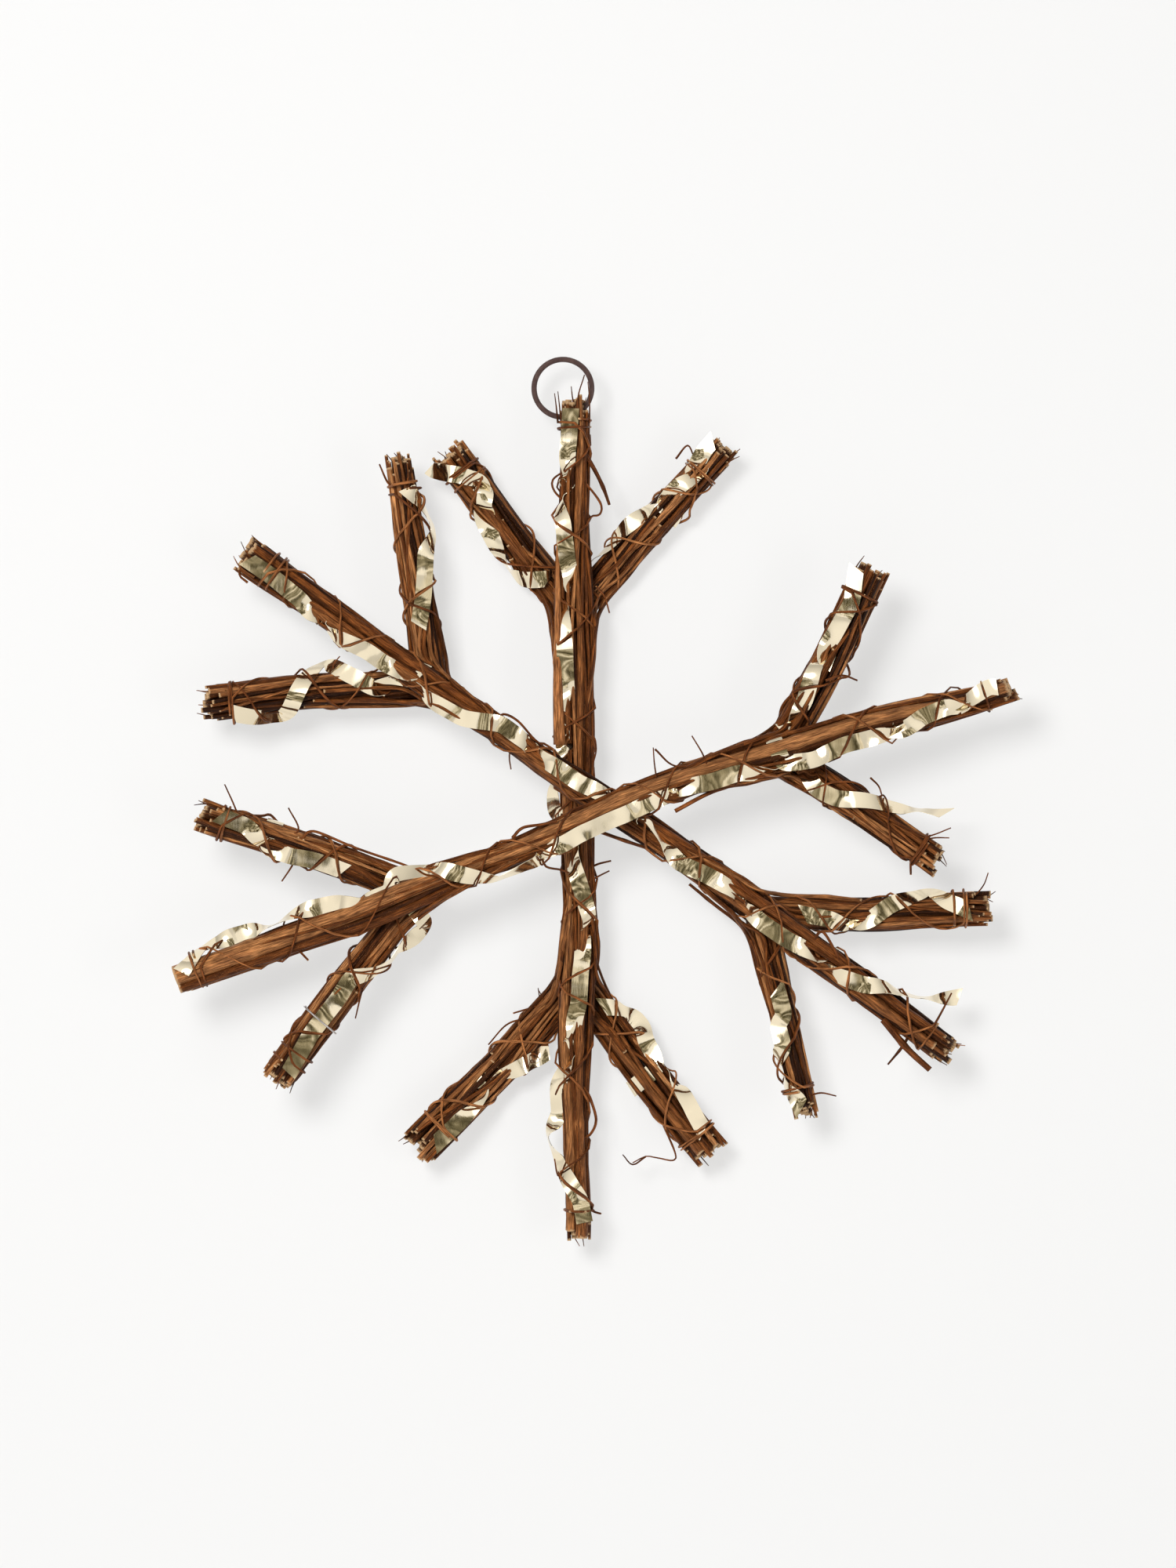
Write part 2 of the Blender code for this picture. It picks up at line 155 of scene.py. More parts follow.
def noise(tree, source, scale, stretch=1.0, detail=4.0, roughness=0.6, distortion=0.0):
    """Noise on a vector, drawn out along its Z by the stretch."""
    mapping = tree.nodes.new("ShaderNodeMapping")
    mapping.inputs["Scale"].default_value = (scale, scale, scale / stretch)
    tree.links.new(source, mapping.inputs["Vector"])
    node = tree.nodes.new("ShaderNodeTexNoise")
    for key, value in (("Scale", 1.0), ("Detail", detail), ("Roughness", roughness),
                       ("Distortion", distortion), ("Vector", mapping.outputs["Vector"])):
        feed(tree, node.inputs[key], value)
    return node.outputs["Fac"]


def ramp(tree, source, stops):
    node = tree.nodes.new("ShaderNodeValToRGB")
    elements = node.color_ramp.elements
    while len(elements) < len(stops):
        elements.new(0.5)
    for element, (place, colour) in zip(elements, stops):
        element.position = place
        element.color = (*colour, 1.0)
    tree.links.new(source, node.inputs["Fac"])
    return node.outputs["Color"]


def mask(tree, source, low, high):
    """Black where the source is under low, and white where it is over high."""
    return ramp(tree, source, ((low, (0.0, 0.0, 0.0)), (high, (1.0, 1.0, 1.0))))


def relief(tree, height, strength, distance, under=None):
    """A bump, laid over the one under it where there is one."""
    node = tree.nodes.new("ShaderNodeBump")
    node.inputs["Strength"].default_value = strength
    node.inputs["Distance"].default_value = distance
    tree.links.new(height, node.inputs["Height"])
    if under:
        tree.links.new(under, node.inputs["Normal"])
    return node.outputs["Normal"]


# %% [markdown]
# ## Wall, floor and light
#
# A pale wall stands just behind the rear twigs and catches their soft shadows. It glows faintly, so
# that those shadows stay light, and its back is see-through, so that the flake can also be looked
# at from behind. One large soft lamp at the upper left in front makes the shadows, a weak strip at
# the lower right opens up the dark side, and the studio all round gives a little even light.
#
# Gold film is a mirror: what it shows is the studio. A dark mottled card round the camera gives it
# olive and cream to reflect where it faces us, the sides of the studio are paler, and at the upper
# left there is a soft bright patch. That is why each turn of ribbon reads cream, then olive, then
# white. The card and the patch are seen by reflections only, and the large lamp is hidden from
# them, because its hard square would blow out.

# %% Materials of the stage
def wall_paint():
    """Matt paint with a faint glow, see-through from behind."""
    material, tree, shader = new_material("wall_paint", {
        "Base Color": (0.28, 0.279, 0.277, 1.0),
        "Emission Color": (0.59, 0.588, 0.582, 1.0),
        "Emission Strength": 1.0,
        "Roughness": 0.9,
        "Specular IOR Level": 0.1,
    })
    mix = tree.nodes.new("ShaderNodeMixShader")
    tree.links.new(tree.nodes.new("ShaderNodeNewGeometry").outputs["Backfacing"], mix.inputs["Fac"])
    tree.links.new(shader.outputs[0], mix.inputs[1])
    tree.links.new(tree.nodes.new("ShaderNodeBsdfTransparent").outputs[0], mix.inputs[2])
    tree.links.new(mix.outputs[0], tree.nodes["Material Output"].inputs["Surface"])
    return material


def card_paint():
    """Black card with a mottled glow, from dark olive to cream."""
    material, tree, shader = new_material("card_paint", {
        "Base Color": (0.0, 0.0, 0.0, 1.0),
        "Roughness": 1.0,
        "Specular IOR Level": 0.0,
        "Emission Strength": 1.0,
    })
    mottle = noise(tree, object_place(tree), 4.0, detail=1.0, roughness=0.5, distortion=1.6)
    tones = ramp(tree, mottle, ((0.38, (0.055, 0.047, 0.022)), (0.47, (0.20, 0.18, 0.115)),
                                (0.55, (0.42, 0.38, 0.27)), (0.63, (0.95, 0.91, 0.80))))
    tree.links.new(tones, shader.inputs["Emission Color"])
    return material


# %% Wall, floor and card
WALL_GAP = 0.0015
WALL_SIZE = 8.0
FLOOR_DROP = 0.75
CARD_SIZE = (2.1, 1.7)
CARD_DISTANCE = 2.4

low_corner, high_corner = cad_box
wall_y = high_corner[1] + WALL_GAP
floor_z = low_corner[2] - FLOOR_DROP

bpy.ops.mesh.primitive_plane_add(
    size=WALL_SIZE, location=(0.0, wall_y, floor_z + WALL_SIZE / 2), rotation=(math.pi / 2, 0.0, 0.0)
)
wall = bpy.context.object
wall.name = "stage_wall"
bpy.ops.mesh.primitive_plane_add(size=WALL_SIZE, location=(0.0, wall_y - WALL_SIZE / 2, floor_z))
floor = bpy.context.object
floor.name = "stage_floor"
paint = wall_paint()
for surface in (wall, floor):
    surface.data.materials.append(paint)

bpy.ops.mesh.primitive_plane_add(
    size=1.0,
    location=(PICTURE_MIDDLE_X, -CARD_DISTANCE, PICTURE_MIDDLE_Z),
    rotation=(math.pi / 2, 0.0, 0.0),
)
card = bpy.context.object
card.name = "stage_dark_card"
card.scale = (*CARD_SIZE, 1.0)
card.data.materials.append(card_paint())
card.visible_camera = card.visible_diffuse = card.visible_shadow = False
print("wall at y", round(wall_y, 4), "floor at z", round(floor_z, 3))

# %% Lamps
KEY_PLACE = (-0.80, -2.7, 0.55)
KEY_SIZE = (0.85, 0.85)
KEY_POWER = 76.0
STRIP_PLACE = (1.75, -2.2, -0.75)
STRIP_SIZE = (0.5, 1.4)
STRIP_POWER = 9.0


def softbox(name, place, size, power):
    """A soft lamp facing the middle of the flake."""
    data = bpy.data.lights.new(name, "AREA")
    data.shape = "RECTANGLE"
    data.size, data.size_y = size
    data.energy = power
    lamp = bpy.data.objects.new(name, data)
    lamp.location = place
    aim = np.array((PICTURE_MIDDLE_X, 0.0, PICTURE_MIDDLE_Z)) - np.array(place)
    tilt = math.acos(-aim[2] / np.linalg.norm(aim))
    lamp.rotation_euler = (tilt, 0.0, math.atan2(aim[1], aim[0]) - math.pi / 2)
    bpy.context.scene.collection.objects.link(lamp)
    return lamp


key_lamp = softbox("key_softbox", KEY_PLACE, KEY_SIZE, KEY_POWER)
key_lamp.visible_glossy = False
strip_lamp = softbox("strip_softbox", STRIP_PLACE, STRIP_SIZE, STRIP_POWER)
print("lamps of", key_lamp.data.energy, "and", strip_lamp.data.energy, "watts")

# %% The studio all round
STUDIO_FRONT_LEVEL = 1.0
STUDIO_SIDE_LEVEL = 0.55
STUDIO_FADE = (-0.15, -0.75)
SOFT_LIGHT_SHARE = 0.20
GLOW_HEADING = (-0.42, -0.83, 0.36)
GLOW_EDGE, GLOW_CORE = 0.93, 0.99
GLOW_LEVEL = 2.0

world = bpy.data.worlds.new("studio")
bpy.context.scene.world = world
world.use_nodes = True
sky = world.node_tree
way = sky.nodes.new("ShaderNodeTexCoord").outputs["Generated"]
ray = sky.nodes.new("ShaderNodeLightPath")
split = sky.nodes.new("ShaderNodeSeparateXYZ")
sky.links.new(way, split.inputs["Vector"])
level = remapped(sky, split.outputs["Y"], STUDIO_SIDE_LEVEL, STUDIO_FRONT_LEVEL, *STUDIO_FADE)
share_lit = remapped(sky, ray.outputs["Is Diffuse Ray"], 1.0, SOFT_LIGHT_SHARE)
towards = sky.nodes.new("ShaderNodeVectorMath")
towards.operation = "DOT_PRODUCT"
towards.inputs[1].default_value = GLOW_HEADING
sky.links.new(way, towards.inputs[0])
glow = remapped(sky, towards.outputs["Value"], 0.0, GLOW_LEVEL, GLOW_EDGE, GLOW_CORE, "SMOOTHSTEP")
mirrored_glow = combined(sky, "MULTIPLY", glow, ray.outputs["Is Glossy Ray"])
whole = combined(sky, "ADD", combined(sky, "MULTIPLY", level, share_lit), mirrored_glow)
sky.links.new(whole, sky.nodes["Background"].inputs["Strength"])
sky.nodes["Background"].inputs["Color"].default_value = (1.0, 0.995, 0.98, 1.0)
bpy.context.scene.view_settings.view_transform = "Standard"
print("studio nodes:", len(sky.nodes))

# %% [markdown]
# ## Bark
#
# The twigs are vine shoots with thin satin bark: red-brown, some nearly black, some tan, with fine
# streaks along them and small scars where leaves grew. The bright streaks lift the bark well above
# its own colour: they are grain with a painted sheen on it. A flat noise would slide over a bent
# twig, so each twig carries a "grain" attribute: where the point was on the straight twig, in
# millimetres. Noise stretched along its Z makes streaks that follow every bend. A "tone" attribute
# holds one number for each twig and shifts it from dark to tan. A "tip" attribute is 0 along the
# twig and rises over the last few millimetres to each end, where the bark has split off and the
# pale wood shows between its streaks.

# %% Bark and wood materials
def grain_material(name, dark, middle, pale, roughness, bump):
    material, tree, shader = new_material(name, {"Specular IOR Level": 0.12})
    grain = attribute(tree, "grain", "Vector")
    streaks = noise(tree, grain, 1.6, 14.0)
    patches = noise(tree, grain, 0.22, 3.0, detail=2.0)
    specks = noise(tree, grain, 2.4, 0.8, detail=1.0)
    body = ramp(tree, attribute(tree, "tone"), ((0.0, dark), (0.5, middle), (1.0, pale)))
    # Grain streaks whose bright end, up to 2.2 times the bark's own colour, is a painted sheen along the
    # grain.
    grain_and_sheen = ramp(tree, streaks, ((0.34, (0.20, 0.14, 0.11)), (0.50, (0.90, 0.87, 0.84)),
                                  (0.68, (2.2, 2.1, 2.0))))
    coloured = mix_colour(tree, 0.85, body, grain_and_sheen, "MULTIPLY")
    patch = ramp(tree, patches, ((0.35, (0.62, 0.55, 0.52)), (0.65, (1.22, 1.20, 1.12))))
    coloured = mix_colour(tree, 0.8, coloured, patch, "MULTIPLY")
    scar_colour = (pale[0] * 1.3, pale[1] * 1.2, pale[2] * 1.1, 1.0)
    scarred = mix_colour(tree, mask(tree, specks, 0.70, 0.76), coloured, scar_colour)
    wood = mix_colour(tree, streaks, (0.40, 0.22, 0.10, 1.0), (0.72, 0.50, 0.28, 1.0))
    bare = mask(tree, combined(tree, "SUBTRACT", attribute(tree, "tip"), streaks), 0.25, 0.5)
    feed(tree, shader.inputs["Base Color"], mix_colour(tree, bare, scarred, wood))
    feed(tree, shader.inputs["Roughness"], remapped(tree, streaks, roughness + 0.16, roughness - 0.10))
    feed(tree, shader.inputs["Normal"], relief(tree, streaks, bump, 0.0005))
    return material


BARK = grain_material(
    "twig_bark", (0.018, 0.005, 0.001), (0.134, 0.043, 0.0105), (0.38, 0.180, 0.072), 0.44, 0.9
)
CUT_WOOD = grain_material(
    "cut_wood", (0.42, 0.21, 0.080), (0.62, 0.34, 0.14), (0.78, 0.50, 0.25), 0.85, 0.5
)
VINE_BARK = grain_material(
    "vine_bark", (0.030, 0.008, 0.003), (0.150, 0.048, 0.013), (0.36, 0.155, 0.058), 0.42, 0.4
)
print("bark", BARK.name, CUT_WOOD.name, VINE_BARK.name)

# %% [markdown]
# ## Gold film, iron and steel
#
# The ribbon is metallised film: a pale gold mirror with a faint brushed hatch and soft dents. The
# ring is blackened iron with a brown cast, worn smooth. The staple is plain bright wire.

# %% Metal materials
def gold_film():
    material, tree, shader = new_material(
        "gold_film", {"Base Color": (0.90, 0.785, 0.575, 1.0), "Metallic": 1.0}
    )
    dents = noise(tree, object_place(tree), 90.0, detail=0.0)
    hatch = noise(tree, object_place(tree), 900.0, 9.0, detail=2.0)
    feed(tree, shader.inputs["Roughness"], remapped(tree, hatch, 0.03, 0.15))
    feed(tree, shader.inputs["Normal"], relief(tree, hatch, 0.05, 0.0002, relief(tree, dents, 0.55, 0.0007)))
    return material


def worn_metal(name, dark, worn, metallic, roughness, scale):
    material, tree, shader = new_material(name, {"Metallic": metallic})
    mottle = noise(tree, object_place(tree), scale)
    feed(tree, shader.inputs["Base Color"], ramp(tree, mottle, ((0.35, dark), (0.7, worn))))
    feed(tree, shader.inputs["Roughness"], remapped(tree, mottle, roughness + 0.12, roughness - 0.08))
    feed(tree, shader.inputs["Normal"], relief(tree, mottle, 0.3, 0.0003))
    return material


GOLD = gold_film()
IRON = worn_metal("ring_iron", (0.055, 0.028, 0.024), (0.095, 0.054, 0.046), 0.35, 0.42, 260.0)
STEEL = worn_metal("staple_steel", (0.42, 0.38, 0.36), (0.66, 0.62, 0.60), 1.0, 0.28, 500.0)
print("metals", GOLD.name, IRON.name, STEEL.name)

# %% [markdown]
# ## Where the bundles lie
#
# Everything here winds along fifteen bundles, so they are described once: the two ends of each,
# how it bows, and how wide and deep it is along its length. These are the sizes that the packed
# model was built with. "Share" runs from 0 to 1 along a bundle, and "phase" turns round it: 0 is
# the front, and it grows towards the bundle's side vector. "Hand" is the way the ribbon winds.

# %% Sizes of the flake
CLEARANCE = 0.0003
RING_OUTER_DIAMETER = 0.038
RING_WIRE = 0.0033
TWIGS_BELOW_NAIL = 0.0274
BUNDLE_DEPTH = 0.0205
CROSSING_DEPTH = 0.0150
FORK_DEPTH = 0.0180
BRANCH_ROOT_DEPTH = 0.0130
CROSSING_SQUEEZE_LENGTH = 0.036
FORK_SQUEEZE_LENGTH = 0.030
SQUEEZE_EASE_LENGTH = 0.060
RIBBON_WIDTH = 0.010
RIBBON_THICKNESS = 0.0003
RIBBON_LIFT = 0.0012
RIBBON_RISE = 0.0015
SOLID_FILM = 0.0004
VINE_DIAMETER = 0.0014
LAYER_STEP = CROSSING_DEPTH + VINE_DIAMETER + 4 * CLEARANCE
RIBBON_ROOM = RIBBON_RISE + SOLID_FILM + (RIBBON_WIDTH / 2) ** 2 / BUNDLE_DEPTH + 3 * CLEARANCE
BRANCH_STEP_BACK = (FORK_DEPTH + BRANCH_ROOT_DEPTH) / 2 + RIBBON_ROOM
BRANCH_TIP_STEP_BACK = 0.006
FRONT = np.array((0.0, -1.0, 0.0))
MIDDLE_ASIDE = 0.008
UPPER_REACH = 0.235
FLAKE_MIDDLE = np.array((MIDDLE_ASIDE, 0.0, -TWIGS_BELOW_NAIL - UPPER_REACH))

# For each long bundle: the heading of its first end in degrees, the reach of its ends and the
# distance of its forks from the middle, how far its line passes beside the middle, its layer
# counted from the back, how far its ends lean back, its bow and widths from end to end, and which
# way round the ribbon winds.
ARMS = {
    "vertical": {
        "turn": 90.3,
        "reach": (UPPER_REACH, 0.260),
        "forks": (0.112, 0.111),
        "aside": 0.0,
        "layer": 0,
        "lean": 0.0,
        "bow": (0.0, -0.0010, 0.0, 0.0016, -0.0018, 0.0),
        "width": (0.0193, 0.0200, 0.0245, 0.0235, 0.0212, 0.0212, 0.0225, 0.0160, 0.0165),
        "hand": 1,
    },
    "falling": {
        "turn": 144.7,
        "reach": (0.244, 0.267),
        "forks": (0.110, 0.130),
        "aside": 0.0056,
        "layer": 1,
        "lean": 0.005,
        "bow": (0.0, -0.0008, 0.0010, 0.0038, 0.0020, 0.0),
        "width": (0.0240, 0.0205, 0.0184, 0.0175, 0.0189, 0.0205, 0.0210, 0.0200, 0.0195),
        "hand": 1,
    },
    "rising": {
        "turn": 199.2,
        "reach": (0.2605, 0.263),
        "forks": (0.107, 0.123),
        "aside": -0.0237,
        "layer": 2,
        "lean": 0.008,
        "bow": (0.0, 0.0, 0.0050, 0.0125, 0.0075, 0.0),
        "width": (0.0189, 0.0208, 0.0212, 0.0180, 0.0200, 0.0222, 0.0230, 0.0215, 0.0175),
        "hand": -1,
    },
}

# Each row is the arm, its fork (0 or 1), the heading in degrees, the reach from the fork, the bow,
# the widths from tip to fork, and which way round the ribbon winds.
BRANCHES = {
    "top_left": ("vertical", 0, 127.9, 0.119, -0.0014, (0.0225, 0.0235, 0.0210), -1),
    "top_right": ("vertical", 0, 47.6, 0.131, -0.0012, (0.0200, 0.0212, 0.0200), 1),
    "bottom_left": ("vertical", 1, 226.2, 0.135, -0.0014, (0.0250, 0.0240, 0.0220), 1),
    "bottom_right": ("vertical", 1, 307.9, 0.126, 0.0012, (0.0245, 0.0245, 0.0220), -1),
    "upper_left_up": ("falling", 0, 98.3, 0.134, -0.0004, (0.0165, 0.0205, 0.0225), 1),
    "upper_left_side": ("falling", 0, 184.6, 0.133, 0.0024, (0.0225, 0.0228, 0.0210), 1),
    "lower_right_side": ("falling", 1, 1.2, 0.133, 0.0030, (0.0225, 0.0215, 0.0200), -1),
    "lower_right_down": ("falling", 1, 282.7, 0.120, 0.0003, (0.0155, 0.0180, 0.0200), 1),
    "lower_left_up": ("rising", 0, 161.0, 0.134, 0.0020, (0.0205, 0.0212, 0.0200), -1),
    "lower_left_down": ("rising", 0, 232.9, 0.137, 0.0010, (0.0215, 0.0220, 0.0205), 1),
    "upper_right_up": ("rising", 1, 63.1, 0.120, 0.0016, (0.0225, 0.0235, 0.0215), 1),
    "upper_right_down": ("rising", 1, 326.0, 0.111, -0.0012, (0.0200, 0.0215, 0.0205), -1),
}
print("bundles:", len(ARMS) + len(BRANCHES))


# %% Directions and easing
def unit(vector):
    return vector / np.linalg.norm(vector)


def heading(degrees):
    return np.array((math.cos(math.radians(degrees)), 0.0, math.sin(math.radians(degrees))))


def smooth_step(step):
    """Rises gently from 0 to 1."""
    step = min(max(step, 0.0), 1.0)
    return step * step * (3 - 2 * step)


def eased(values, share):
    """A smooth run through evenly spaced values."""
    place = min(max(share, 0.0), 1.0) * (len(values) - 1)
    low = min(int(place), len(values) - 2)
    step = smooth_step(place - low)
    return values[low] * (1 - step) + values[low + 1] * step


def squeezed(free, tight, distance, length):
    """The tight depth as far as the length, then easing to the free one."""
    step = smooth_step((distance - length) / SQUEEZE_EASE_LENGTH)
    return tight * (1 - step) + free * step


# %% The line and envelope of a bundle
class Bundle:
    """The line of a bundle and the elliptical envelope round it."""

    # How far twigs stick out past the first end, in parts of RAGGED_END.
    ragged_first = (-0.8, 1.0)

    def __init__(self, first, last, bow, width):
        self.first, self.last, self.bow, self.width = first, last, bow, width
        self.length = float(np.linalg.norm(last - first))
        self.along = (last - first) / self.length
        self.side = np.cross(FRONT, self.along)

    def centre(self, share):
        point = self.first + self.along * (self.length * share)
        return point + self.side * eased(self.bow, share) - FRONT * self.set_back(share)

    def surface(self, share, phase, lift=0.0):
        """A point on the envelope, or lifted off it."""
        half_width = eased(self.width, share) / 2 + lift
        half_depth = self.depth(share) / 2 + lift
        across = self.side * (half_width * math.sin(phase)) + FRONT * (half_depth * math.cos(phase))
        return self.centre(share) + across

    def outward(self, share, phase):
        """The way straight out of the envelope."""
        half_width, half_depth = eased(self.width, share), self.depth(share)
        return unit(self.side * (math.sin(phase) / half_width) + FRONT * (math.cos(phase) / half_depth))


# %% Long and short bundles
class Arm(Bundle):
    """A long bundle, squeezed where it crosses the others and where a fork is bound to it."""

    def __init__(self, row):
        way = heading(row["turn"])
        middle = FLAKE_MIDDLE + np.cross(FRONT, -way) * row["aside"]
        first, last = middle + way * row["reach"][0], middle - way * row["reach"][1]
        super().__init__(first, last, row["bow"], row["width"])
        self.row, self.hand = row, row["hand"]
        self.middle_share = row["reach"][0] / self.length

    def share_of_fork(self, half):
        return self.middle_share + (-1, 1)[half] * self.row["forks"][half] / self.length

    def depth(self, share):
        distance = abs(self.middle_share - share) * self.length
        depth = squeezed(BUNDLE_DEPTH, CROSSING_DEPTH, distance, CROSSING_SQUEEZE_LENGTH)
        for half in (0, 1):
            off_fork = abs(share - self.share_of_fork(half)) * self.length
            depth = min(depth, squeezed(BUNDLE_DEPTH, FORK_DEPTH, off_fork, FORK_SQUEEZE_LENGTH))
        return depth

    def set_back(self, share):
        distance = (self.middle_share - share) * self.length
        free_length = self.row["reach"][0 if distance > 0 else 1] - CROSSING_SQUEEZE_LENGTH
        leaning = smooth_step((abs(distance) - CROSSING_SQUEEZE_LENGTH) / free_length)
        return self.row["lean"] * leaning - self.row["layer"] * LAYER_STEP


class Branch(Bundle):
    """A short bundle, which starts behind its arm and comes forward to its tip."""

    def __init__(self, row, arms):
        arm_name, half, turn, reach, bow, width, self.hand = row
        arm = arms[arm_name]
        fork_share = arm.share_of_fork(half)
        self.arm, self.fork_share = arm, fork_share
        self.fork_back = arm.set_back(fork_share)
        fork = arm.centre(fork_share) + FRONT * self.fork_back
        way = heading(turn)
        super().__init__(fork + way * reach, fork, (0.0, bow, 0.0), width)

    def depth(self, share):
        return squeezed(BUNDLE_DEPTH, BRANCH_ROOT_DEPTH, (1 - share) * self.length, 0.0)

    def set_back(self, share):
        back = BRANCH_TIP_STEP_BACK + (BRANCH_STEP_BACK - BRANCH_TIP_STEP_BACK) * share
        return self.fork_back + back


arms = {name: Arm(row) for name, row in ARMS.items()}
branches = {name: Branch(row, arms) for name, row in BRANCHES.items()}
bundles = {**arms, **branches}
# One thick vine with a clean cut makes the first end of the rising arm.
arms["rising"].ragged_first = (-1.0, -0.2)
for name, bundle in bundles.items():
    print("bundle", name, "length", round(bundle.length * 1000), "mm")

# %% [markdown]
# ## Twig stock
#
# Each bundle holds some thirty twigs, so one good straight twig is modelled and copied. It starts
# as a cylinder primitive of 1 mm radius. Its long edges are subdivided into rings, so that it can
# bend, and each end is inset: the rim stays bark, and the face inside it is pale cut wood. The long
# bundles need more rings than the short ones, up to the 100 cuts that one subdivision can make.
# Twigs inside a bundle and thin vine get by with six sides and no rim.

# %% Make the stocks
STOCK_RADIUS = 0.001
RIM_SHARE = 0.14


def straight_stock(name, rings, sides, rim):
    bpy.ops.object.select_all(action="DESELECT")
    bpy.ops.mesh.primitive_cylinder_add(
        vertices=sides, radius=STOCK_RADIUS, depth=1.0, location=(0.0, 0.0, 0.5), end_fill_type="NGON"
    )
    stock = bpy.context.object
    stock.name = name
    bpy.ops.object.transform_apply(location=True, rotation=False, scale=False)
    mesh = stock.data
    for edge in mesh.edges:
        low, high = (mesh.vertices[i].co.z for i in edge.vertices)
        edge.select = abs(high - low) > 0.5
    for vertex in mesh.vertices:
        vertex.select = False
    for face in mesh.polygons:
        face.select = False
    bpy.context.tool_settings.mesh_select_mode = (False, True, False)
    bpy.ops.object.mode_set(mode="EDIT")
    bpy.ops.mesh.subdivide(number_cuts=rings)
    bpy.ops.mesh.select_mode(type="FACE")
    bpy.ops.mesh.select_all(action="DESELECT")
    bpy.ops.object.mode_set(mode="OBJECT")
    for face in mesh.polygons:
        face.select = abs(face.normal.z) > 0.9
    if rim:
        bpy.ops.object.mode_set(mode="EDIT")
        bpy.ops.mesh.inset(thickness=STOCK_RADIUS * RIM_SHARE, use_even_offset=False)
        bpy.ops.object.mode_set(mode="OBJECT")
    for face in mesh.polygons:
        face.material_index = 1 if len(face.vertices) > 4 else 0
        face.use_smooth = abs(face.normal.z) < 0.5
    return stock


long_twig = straight_stock("stock_long_twig", 100, 10, True)
short_twig = straight_stock("stock_short_twig", 42, 10, True)
long_filler = straight_stock("stock_long_filler", 70, 6, False)
short_filler = straight_stock("stock_short_filler", 20, 6, False)
long_vine = straight_stock("stock_long_vine", 100, 6, False)
short_vine = straight_stock("stock_short_vine", 90, 6, False)
stocks = (long_twig, short_twig, long_filler, short_filler, long_vine, short_vine)
for stock in stocks:
    print(stock.name, "faces", len(stock.data.polygons))

# %% [markdown]
# ## Bending a twig along a path
#
# By hand one would draw a curve and give the straight twig a Curve modifier. The same is done
# here: the path is a poly curve, its point radii thicken the twig at knots and taper it, and
# Stretch and Bounds Clamp fit the twig to the whole path. The grain is written before bending, at
# the twig's true length and thickness, so the bark has the same scale on every twig.

# %% Lay one twig
BARED_TIP = 0.0035


def lay_twig(name, stock, points, radii, tone, chance, materials, bared=1.1):
    """A copy of the stock bent along the points (metres), with its radius (millimetres) at each.

    Bared says how much of the bark is off at the two ends.
    """
    points = np.asarray(points, float)
    length = float(np.linalg.norm(np.diff(points, axis=0), axis=1).sum())
    data = bpy.data.curves.new(f"{name}_path", "CURVE")
    data.dimensions = "3D"
    data.use_stretch = data.use_deform_bounds = data.use_radius = True
    spline = data.splines.new("POLY")
    spline.points.add(len(points) - 1)
    spline.points.foreach_set("co", np.c_[points, np.ones(len(points))].ravel())
    spline.points.foreach_set("radius", np.asarray(radii, float))
    path = bpy.data.objects.new(data.name, data)
    bpy.context.scene.collection.objects.link(path)

    twig = stock.copy()
    twig.data = stock.data.copy()
    twig.name = name
    bpy.context.scene.collection.objects.link(twig)
    mesh = twig.data
    rest = np.zeros(len(mesh.vertices) * 3)
    mesh.vertices.foreach_get("co", rest)
    rest = rest.reshape(-1, 3)
    thickness = float(np.mean(radii)) / STOCK_RADIUS
    offset = [chance.uniform(0.0, 500.0) for _ in range(3)]
    from_end = np.minimum(rest[:, 2], 1.0 - rest[:, 2]) * length
    tip = bared * np.clip(1.0 - from_end / BARED_TIP, 0.0, 1.0)
    grain = rest * (thickness, thickness, length * 1000) + offset
    mesh.attributes.new("grain", "FLOAT_VECTOR", "POINT").data.foreach_set("vector", grain.ravel())
    for layer, values in (("tone", np.full(len(rest), tone)), ("tip", tip)):
        mesh.attributes.new(layer, "FLOAT", "POINT").data.foreach_set("value", values)
    for material in materials:
        mesh.materials.append(material)
    bend = twig.modifiers.new("bend", "CURVE")
    bend.object = path
    bend.deform_axis = "POS_Z"
    return twig, path


def join_laid(name, laid):
    """Applies the bends of the laid twigs, clears their paths and joins them into one piece."""
    twigs = [twig for twig, path in laid]
    for twig in twigs:
        bpy.ops.object.select_all(action="DESELECT")
        twig.select_set(True)
        bpy.context.view_layer.objects.active = twig
        bpy.ops.object.modifier_apply(modifier="bend")
    for twig, path in laid:
        bpy.data.curves.remove(path.data)
    for twig in twigs:
        twig.select_set(True)
    bpy.context.view_layer.objects.active = twigs[0]
    bpy.ops.object.join()
    piece = bpy.context.object
    piece.name = piece.data.name = name
    return piece


# %% [markdown]
# ## The way of one twig
#
# A vine shoot has a knot every few centimetres, where a leaf grew, and is a little thicker there.
# In its bundle it wanders in phase and depth, so that neighbours cross at low angles and leave dark
# creases, and it ends a few millimetres short of its neighbours or past them. Slow sine waves with
# seeded starts give this wander: it is smooth, and it comes out the same on every run.

# %% Knots and wander
KNOT_SPACING = (0.035, 0.080)
KNOT_LENGTH = 0.0028
KNOT_SWELL = (0.10, 0.28)
RAGGED_END = 0.0075
TWIG_STEP = 0.004
WANDER_LENGTH = 0.25
WANDER_DEPTH = 0.0007


def distances_along(points):
    """How far along the path each of its points is, in metres."""
    return np.r_[0.0, np.cumsum(np.linalg.norm(np.diff(points, axis=0), axis=1))]


def knots_along(length, chance):
    places, place = [], chance.uniform(0.01, KNOT_SPACING[1])
    while place < length:
        places.append(place)
        place += chance.uniform(*KNOT_SPACING)
    return places


